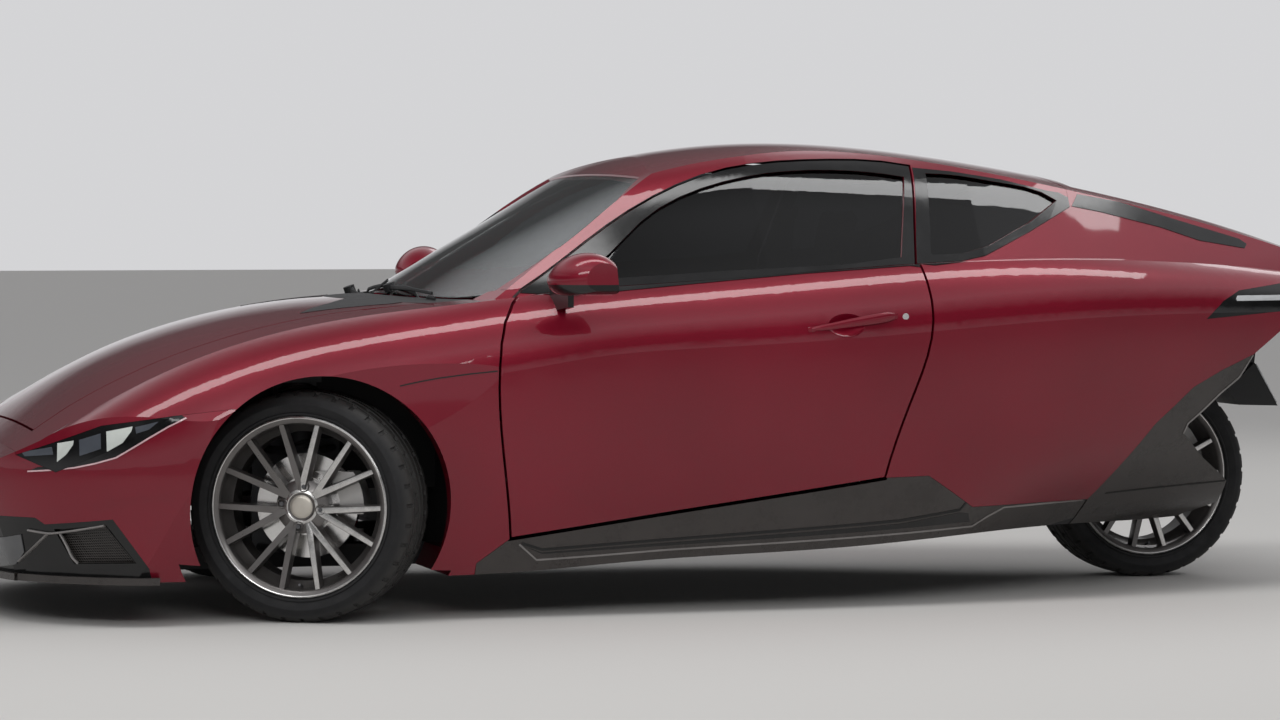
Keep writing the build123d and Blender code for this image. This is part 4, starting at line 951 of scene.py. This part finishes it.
def makePlate():
    # a blank plate with a raised rim and two bolts, drawn flat and then leant back
    half, tall, rimWidth = plate["half"], plate["tall"] / 2, plate["rim"]
    back, front = plate["back"], plate["front"]
    bm = bmesh.new()
    addBox(bm, (-tall, -half, back), (tall, half, plate["face"]), plate["edge"])
    for way in (-1, 1):
        low, high = sorted((way * tall, way * (tall - rimWidth)))
        addBox(bm, (low, -half, back), (high, half, front), plate["edge"], 1)
    for way in (-1, 1):
        low, high = sorted((way * half, way * (half - rimWidth)))
        addBox(bm, (-tall + rimWidth, low, back), (tall - rimWidth, high, front), plate["edge"], 1)
        addDrum(bm, (-0.045, way * plate["bolts"], 0.0034), 0.0048, 0.003, axis=(0, 0, 1),
                segments=6, slotNumber=1)
    turn = Matrix.Rotation(math.radians(90 - plate["lean"]), 4, "Y")
    bmesh.ops.transform(bm, matrix=Matrix.Translation(alongCar(*plate["middle"])) @ turn,
                        verts=bm.verts)
    makePiece("plate", bm, "body", "plateBlank", "edgeBright")


makePlate()

mirror = {"at": (732, -950, 920), "size": (0.086, 0.126, 1), "thick": 0.004, "yaw": 17}


def makeMirrorGlass():
    bm = bmesh.new()
    bmesh.ops.create_cone(bm, cap_ends=True, segments=40, radius1=0.5, radius2=0.47,
                          depth=mirror["thick"])
    bmesh.ops.scale(bm, verts=bm.verts, vec=mirror["size"])
    turn = (Matrix.Rotation(math.radians(mirror["yaw"]), 4, "Z")
            @ Matrix.Rotation(math.radians(90), 4, "Y"))
    bmesh.ops.transform(bm, matrix=Matrix.Translation(alongCar(*mirror["at"])) @ turn,
                        verts=bm.verts)
    bothSides(makePiece("leftMirrorGlass", bm, "left_door_body", "mirrorGlass"))


makeMirrorGlass()

# millimetres across the car: each arm's foot, its tip and the far end of its blade
wiper = {"arms": ((-40, -500, -70), (500, 60, 450)), "foot": 352, "middle": 358, "tip": 372,
         "blade": 366, "pastTip": 0.1}


def makeWipers():
    ray = surfaceOf("windscreen", "cowl_panel")

    def above(x, y, lift):
        hit = ray(alongCar(x, y, 1500), (0, 0, -1))
        return (hit or alongCar(x, y, 870)) + Vector((-lift * 0.4, 0, lift))
    bm = bmesh.new()
    for foot, tip, far in wiper["arms"]:
        start, end = above(wiper["foot"], foot, 0.010), above(wiper["tip"], tip, 0.017)
        middle = above(wiper["middle"], foot + (tip - foot) * 0.5, 0.020)
        tube(bm, smoothLine([start, middle, end]), [0.0075] * 5 + [0.005] * 4, flat=0.6, sides=8)
        addDrum(bm, start, 0.017, 0.022, axis=(-0.35, 0, 1), segments=24)
        reach = (tip - far) * (1 + wiper["pastTip"])
        blade = [above(wiper["blade"], far + reach * part / 6, 0.006) for part in range(7)]
        tube(bm, blade, 0.006, flat=0.5, sides=6)
    makePiece("wipers", bm, "body", "blackPlastic")


makeWipers()
print("outside details done")

pads = {
    # side outline and half width in millimetres, how far the skin may move, how much the ends
    # are drawn in, where one sits, and the axis that the channels follow
    "Cushion": {"outline": [(1128, 284), (1136, 384), (1172, 404), (1400, 384), (1545, 362),
                            (1582, 300), (1560, 268), (1300, 262)],
                "half": 214, "cap": 0.022, "pull": 0.94, "face": (0, 0, 1), "axis": 0},
    "Back": {"outline": [(1574, 352), (1602, 318), (1672, 336), (1770, 640), (1836, 892),
                         (1798, 940), (1754, 918), (1672, 660), (1590, 430)],
             "half": 222, "cap": 0.022, "pull": 0.90, "face": (-0.94, 0, 0.33), "axis": 2},
    "Headrest": {"outline": [(1782, 976), (1816, 966), (1856, 1072), (1836, 1096), (1808, 1088)],
                 "half": 116, "cap": 0.014, "pull": 0.92},
}
cushions = {"voxel": 0.006, "pressure": 4.0, "frames": 20, "groove": 0.0065, "wide": 0.0065,
            "panel": 0.118, "pitch": 0.074, "crown": 0.0018, "margin": (0.05, 0.06)}


def padShape(outline, half, pull):
    # the side outline drawn out across the seat, its ends a little smaller and its corners eased
    middle = Vector((sum(x for x, z in outline), 0, sum(z for x, z in outline))) / len(outline)
    rings = []
    for part, size in ((-1.0, pull - 0.10), (-0.97, pull), (-0.86, 1.0), (-0.3, 0.97), (0.3, 0.97),
                       (0.86, 1.0), (0.97, pull), (1.0, pull - 0.10)):
        rings.append([alongCar(middle.x + (x - middle.x) * size, part * half,
                               middle.z + (z - middle.z) * size) for x, z in outline])
    bm = bmesh.new()
    loftRings(bm, rings)
    return bm


def applied(piece):
    graph = bpy.context.evaluated_depsgraph_get()
    mesh = bpy.data.meshes.new_from_object(piece.evaluated_get(graph))
    piece.modifiers.clear()
    piece.data = mesh
    return mesh


def puffed(name, bm, cap):
    # remeshed, blown up a little as cloth, and no point moved further than the cap
    mesh = bpy.data.meshes.new(name)
    bm.to_mesh(mesh)
    bm.free()
    pad = bpy.data.objects.new(name, mesh)
    scene = bpy.context.scene
    scene.collection.objects.link(pad)
    remesh = pad.modifiers.new("even", "REMESH")
    remesh.mode, remesh.voxel_size = "VOXEL", cushions["voxel"]
    mesh = applied(pad)
    before = [vert.co.copy() for vert in mesh.vertices]
    cloth = pad.modifiers.new("blown", "CLOTH")
    cloth.settings.use_pressure = True
    cloth.settings.uniform_pressure_force = cushions["pressure"]
    cloth.settings.effector_weights.gravity = 0.0
    for number in range(1, cushions["frames"] + 1):
        scene.frame_set(number)
    mesh = applied(pad)
    for vert, place in zip(mesh.vertices, before):
        move = vert.co - place
        if move.length > cap:
            vert.co = place + move * (cap / move.length)
    scene.frame_set(1)
    finer = pad.modifiers.new("finer", "SUBSURF")
    finer.levels = finer.render_levels = 1
    mesh = applied(pad)
    bm = bmesh.new()
    bm.from_mesh(mesh)
    bpy.data.objects.remove(pad)
    return bm


def sewn(bm, axis, face):
    # seams at the sides of the middle panel and channels across it, sunk from the side that one
    # sits on, and the panel's own leather
    bm.normal_update()
    half, wide, pitch = cushions["panel"], cushions["wide"], cushions["pitch"]
    places = [vert.co[axis] for vert in bm.verts]
    low, high = min(places) + cushions["margin"][0], max(places) - cushions["margin"][1]
    moves = []
    for vert in bm.verts:
        toFace = vert.normal.dot(face)
        if toFace < 0.25:
            continue
        seam = math.exp(-((abs(vert.co.y) - half) / wide) ** 2)
        channel = crown = 0.0
        if abs(vert.co.y) < half and low < vert.co[axis] < high:
            number = (vert.co[axis] - low) / pitch
            offset = number - round(number)
            channel = 0.75 * math.exp(-(offset * pitch / wide) ** 2)
            crown = cushions["crown"] * math.cos(math.pi * offset)
        depth = max(seam, channel) * cushions["groove"] * min(1.0, toFace * 1.6)
        moves.append((vert, vert.normal * (crown - depth)))
    for vert, move in moves:
        vert.co += move
    for facet in bm.faces:
        if abs(facet.calc_center_median().y) < half and facet.normal.dot(face) > 0.2:
            facet.material_index = 1


seat = {
    "apart": 0.350,
    # a shell behind the backrest, a pan under the cushion, the head restraint's posts, runners
    "shell": [(1608, 300), (1692, 326), (1774, 610), (1856, 890), (1836, 936), (1846, 892),
              (1764, 614), (1682, 340)],
    "shellAcross": (-210, -150, 0, 150, 210),
    "pan": ((1140, -190, 250), (1596, 190, 272)),
    "posts": ((1812, 925), (1826, 985)), "postsAcross": (-60, 60),
    "runners": ((1170, -16, 237), (1550, 16, 251)), "runnersAcross": (-160, 160),
    "knob": (1612, -222, 340),
}


def onBothSeats(word, bm, *finishWords, smooth=32.0, isPad=False):
    # a piece drawn on the middle of the car, at both seats' places and instead of their nodes
    mesh = bpy.data.meshes.new("seatPart")
    bm.to_mesh(mesh)
    bm.free()
    for side, sideWord in ((-1, "left"), (1, "right")):
        bm = bmesh.new()
        bm.from_mesh(mesh)
        bmesh.ops.translate(bm, verts=bm.verts, vec=(0, side * seat["apart"], 0))
        piece = makePiece(sideWord + word, bm, "body", *finishWords, smooth=smooth)
        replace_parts(piece, sideWord + "_seat")


def makeSeats():
    for word, settings in pads.items():
        shape = padShape(settings["outline"], settings["half"], settings["pull"])
        bm = puffed("pad" + word, shape, settings["cap"])
        if "face" in settings:
            sewn(bm, settings["axis"], Vector(settings["face"]))
        onBothSeats("Seat" + word, bm, "leather", "leatherPanel", smooth=60, isPad=True)
    bm = bmesh.new()
    loftRings(bm, [[alongCar(x, y, z) for x, z in seat["shell"]] for y in seat["shellAcross"]])
    addCarBox(bm, *seat["pan"], 8)
    for y in seat["postsAcross"]:
        tube(bm, [alongCar(x, y, z) for x, z in seat["posts"]], 0.006)
    (x0, y0, z0), (x1, y1, z1) = seat["runners"]
    for y in seat["runnersAcross"]:
        addCarBox(bm, (x0, y + y0, z0), (x1, y + y1, z1), 2, 1)
    addDrum(bm, alongCar(*seat["knob"]), 0.032, 0.018)
    onBothSeats("SeatFrame", bm, "dashPlastic", "castSteel")


makeSeats()
print("seats done")

dash = {
    # the hood over the instruments, seen from the side
    "hood": [(700, 858), (730, 884), (790, 892), (842, 872), (850, 852), (790, 840)],
    "hoodAcross": (-150, -120, 0, 120, 150), "hoodDrop": 0.06, "driver": -350,
    "screens": (((838, -100, 742), (858, 100, 852), 6), ((846, -460, 790), (852, -240, 852), 3)),
    "screenLean": -18,
    "vents": (-610, -140, 140, 610), "slats": 4, "slatPitch": 11,
    "gloveBox": ((862, 210, 610), (880, 500, 735)),
    "switches": (874, -62, 712), "switchCount": 6, "switchPitch": 25,
    "pedals": (-470, -360), "pedalLean": 24,
}
console = {
    "base": ((905, -96, 421), (1560, 96, 446)), "armrest": ((1180, -84, 446), (1540, 84, 476)),
    "cups": ((1010, 0, 447), (1100, 0, 447)), "lever": ((935, 0, 444), (930, 0, 500)),
    "knob": (929, 0, 512),
}


def makeDash():
    bm = bmesh.new()
    loftRings(bm, [[alongCar(x, dash["driver"] + y, z - abs(y) * dash["hoodDrop"])
                    for x, z in dash["hood"]] for y in dash["hoodAcross"]])
    screenTurn = Matrix.Rotation(math.radians(dash["screenLean"]), 4, "Y")
    for low, high, edge in dash["screens"]:
        addCarBox(bm, low, high, edge, 1, screenTurn)
    for y in dash["vents"]:
        addCarBox(bm, (852, y - 46, 752), (878, y + 46, 800), 6)
        for number in range(dash["slats"]):
            z = 760 + number * dash["slatPitch"]
            addCarBox(bm, (868, y - 38, z), (882, y + 38, z + 3), 0.5, 2)
    addCarBox(bm, *dash["gloveBox"], 6)
    x, y, z = dash["switches"]
    for number in range(dash["switchCount"]):
        addDrum(bm, alongCar(x, y + number * dash["switchPitch"], z), 0.008, 0.012, axis=(1, 0, 0),
                segments=24, slotNumber=2)
    pedalTurn = Matrix.Rotation(math.radians(dash["pedalLean"]), 4, "Y")
    for y in dash["pedals"]:
        addCarBox(bm, (520, y - 26, 262), (532, y + 26, 332), 3, 2, pedalTurn)
    makePiece("dashDetails", bm, "body", "dashPlastic", "screenFace", "satinGrey")


def makeConsole():
    bm = bmesh.new()
    addCarBox(bm, *console["base"], 12)
    addCarBox(bm, *console["armrest"], 14, 1)
    for cup in console["cups"]:
        addDrum(bm, alongCar(*cup), 0.036, 0.006, axis=(0, 0, 1), segments=40, slotNumber=2)
    tube(bm, [alongCar(*place) for place in console["lever"]], [0.010, 0.008])
    addDrum(bm, alongCar(*console["knob"]), 0.021, 0.034, axis=(0, 0, 1), slotNumber=1,
            radiusTwo=0.015)
    makePiece("console", bm, "body", "dashPlastic", "leather", "satinGrey")


makeDash()
makeConsole()

steeringPad = {
    "at": (1085.0, -350.0, 735.0), "tilt": 24.0, "proud": 0.006,
    "profile": [(0.0, -0.020), (0.030, -0.019), (0.050, -0.014), (0.060, -0.004), (0.062, 0.006),
                (0.058, 0.012), (0.0, 0.012)],
    "arms": (0, 90, 180), "arm": (0.100, 0.006, 0.020), "armAt": (0.108, -0.002, 0),
}


def makeSteeringPad():
    # blank pad on the steering wheel's hub, and metal trims on its arms
    bm = spun(steeringPad["profile"], steps=64)
    for angle in steeringPad["arms"]:
        arm = bmesh.ops.create_cube(bm, size=1.0)["verts"]
        bmesh.ops.scale(bm, verts=arm, vec=steeringPad["arm"])
        bmesh.ops.translate(bm, verts=arm, vec=steeringPad["armAt"])
        bmesh.ops.rotate(bm, verts=arm, cent=(0, 0, 0),
                         matrix=Matrix.Rotation(math.radians(angle), 3, "Y"))
        for facet in facesOf(arm):
            facet.material_index = 1
    # its face looks back and up towards the driver
    tilt = math.radians(steeringPad["tilt"])
    look = Vector((math.cos(tilt), 0, math.sin(tilt)))
    turn = Vector((0, -1, 0)).rotation_difference(look).to_matrix().to_4x4()
    place = Matrix.Translation(alongCar(*steeringPad["at"]) + look * steeringPad["proud"])
    bmesh.ops.transform(bm, matrix=place @ Matrix.Rotation(math.radians(90), 4, look) @ turn,
                        verts=bm.verts)
    makePiece("steeringPad", bm, "steering_wheel_body", "leather", "satinGrey")


makeSteeringPad()

door = {
    "card": [(560, 320), (640, 250), (1480, 268), (1560, 330), (1600, 640), (1620, 842),
             (1200, 822), (700, 800), (560, 700)],
    "rest": ((980, 600), (1120, 592), (1300, 604), (1440, 626)), "restProud": 20,
    # x and z of the pull's points, and how far they stand off the door
    "pull": ((1010, 700, 4), (1030, 704, 34), (1150, 716, 36), (1170, 720, 4)),
    "speaker": (760, 400, 5),
}


def makeDoorCards():
    skinPatch("leftDoorCard", "left_door", "dashPlastic", door["card"], lift=0.5, thick=3,
              way="inside")
    ray = surfaceOf("left_door")

    def inner(x, z, proud):
        hit = ray(alongCar(x, 0, z), (0, -1, 0))
        return (hit or alongCar(x, -760, z)) + Vector((0, proud * mm, 0))
    bm = bmesh.new()
    rest = [inner(x, z, door["restProud"]) for x, z in door["rest"]]
    tube(bm, smoothLine(rest), [0.020] * 4 + [0.028] * 5 + [0.026] * 4, sides=14)
    pull = [inner(*point) for point in door["pull"]]
    tube(bm, smoothLine(pull), 0.008, slots={side: 1 for side in range(10)})
    for radius, depth, number in ((0.074, 0.008, 0), (0.064, 0.013, 1)):
        addDrum(bm, inner(*door["speaker"]), radius, depth, segments=48, slotNumber=number)
    bothSides(makePiece("leftDoorRest", bm, "left_door_body", "leatherPanel", "satinGrey"))


makeDoorCards()

belt = {"line": ((1750, -610, 1080), (1742, -632, 900), (1730, -640, 700), (1715, -632, 500),
                 (1705, -620, 330)), "wide": 0.046, "thick": 0.0014,
        # corners from the line's ends, and bevel
        "guide": ((-0.032, -0.012, -0.010), (0.032, 0.010, 0.024), 0.005),
        "reel": ((-0.040, -0.024, -0.050), (0.040, 0.020, 0.020), 0.006)}


def makeBelts():
    # webbing from the pillar to the sill, its guide and its reel cover
    line = [alongCar(*place) for place in belt["line"]]
    along, thick = Vector((belt["wide"] / 2, 0, 0)), Vector((0, belt["thick"] / 2, 0))
    bm = bmesh.new()
    loftRings(bm, [[place - along - thick, place + along - thick, place + along + thick,
                    place - along + thick] for place in smoothLine(line)])
    for place, low, high, edge in ((line[0], *belt["guide"]), (line[-1], *belt["reel"])):
        addBox(bm, place + Vector(low), place + Vector(high), edge, 1)
    bothSides(makePiece("leftBelt", bm, "body", "beltWeb", "dashPlastic"))


makeBelts()
print("cabin done")

spring = {"low": (0, -536, 286), "high": (0, -450, 604), "radius": 0.046, "wire": 0.0058,
          "turns": 7, "steps": 20, "seat": 0.056}


def makeSprings():
    low, high = alongCar(*spring["low"]), alongCar(*spring["high"])
    run = (high - low).normalized()
    out = Vector((1, 0, 0))
    other = run.cross(out)
    count = spring["turns"] * spring["steps"]
    line = []
    for step in range(count + 1):
        angle = math.tau * step / spring["steps"]
        line.append(low.lerp(high, step / count)
                    + (out * math.cos(angle) + other * math.sin(angle)) * spring["radius"])
    bm = bmesh.new()
    tube(bm, line, spring["wire"], sides=8)
    for place in (low, high):
        addDrum(bm, place, spring["seat"], 0.008, axis=run, segments=40)
    bothSides(makePiece("leftSpring", bm, "body", "springSteel"))


makeSprings()

underTray = {"seams": (-150, 620, 1250), "half": 560, "ribs": (330, 120), "from": -520, "to": 1720,
             "bolts": -225, "boltStep": 190, "seamBolts": (60, 420, 520), "bolt": 0.010}


def makeUnderTray():
    # beads pressed into the flat floor, the joints of its trays, and the bolts that hold them
    start, end, half = underTray["from"], underTray["to"], underTray["half"]
    for number, x in enumerate(underTray["seams"]):
        skinPatch("traySeam%d" % number, "floor_tub", "sealRubber", [(x, -half), (x, half)],
                  lift=0.3, way="below", width=6)
    for number, y in enumerate(underTray["ribs"]):
        skinPatch("leftTrayRib%d" % number, "floor_tub", "underBody", [(start, -y), (end, -y)],
                  lift=0.3, thick=5, way="below", width=34)
    ray = surfaceOf("floor_tub")
    places = [(x, underTray["bolts"]) for x in range(start, end, underTray["boltStep"])]
    places += [(x + way, -y) for x in underTray["seams"] for way in (-28, 28)
               for y in underTray["seamBolts"]]
    bm = bmesh.new()
    for x, y in places:
        hit = ray(alongCar(x, y, -100), (0, 0, 1))
        if hit and hit.z < 0.2:
            addDrum(bm, hit - Vector((0, 0, 0.0012)), underTray["bolt"] * 1.6, 0.0024,
                    axis=(0, 0, 1), segments=20)
            addDrum(bm, hit - Vector((0, 0, 0.0050)), underTray["bolt"], 0.0056, axis=(0, 0, 1),
                    segments=6)
    bothSides(makePiece("leftTrayBolts", bm, "body", "castSteel"))


makeUnderTray()

# the roof, the pillars and the sides behind the seats, mats on the floor, and the bonnet's frame
insideSkins = {
    "roofLining": ("body_frame", "headCloth", [
        (985, -520), (2190, -430), (2215, 0), (2190, 430), (985, 520), (960, 0)],
        {**pressed, "thick": 3, "way": "below"}),
    "leftPillarLining": ("body_frame", "headCloth", [
        (420, 880), (640, 1010), (960, 1150), (1250, 1262), (2240, 1262), (2240, 930),
        (1700, 890), (1600, 960), (1500, 1190), (900, 1100), (640, 940)],
        {**pressed, "thick": 2.5, "way": "inside"}),
    "leftQuarterLining": ("left_quarter", "dashPlastic", [
        (1580, 300), (1600, 900), (1700, 930), (2240, 1010), (2700, 980), (2700, 700),
        (2300, 640), (2060, 300)], {**pressed, "thick": 2.5, "way": "inside"}),
    "leftMat": ("floor_tub", "carpet", [
        (560, -590), (1090, -600), (1100, -560), (1100, -160), (1060, -130), (600, -130),
        (560, -170)], {**pressed, "thick": 6, "way": "above"}),
    "bonnetLining": ("bonnet", "blackPlastic", [
        (-640, -260), (-560, -330), (-300, -390), (-60, -400), (10, -360), (10, 360),
        (-60, 400), (-300, 390), (-560, 330), (-640, 260)],
        {"lift": 0.5, "thick": 4, "way": "below"}),
}
for name, (nodeName, finish, outline, rest) in insideSkins.items():
    skinPatch(name, nodeName, finish, outline, **rest)
print("trim done")
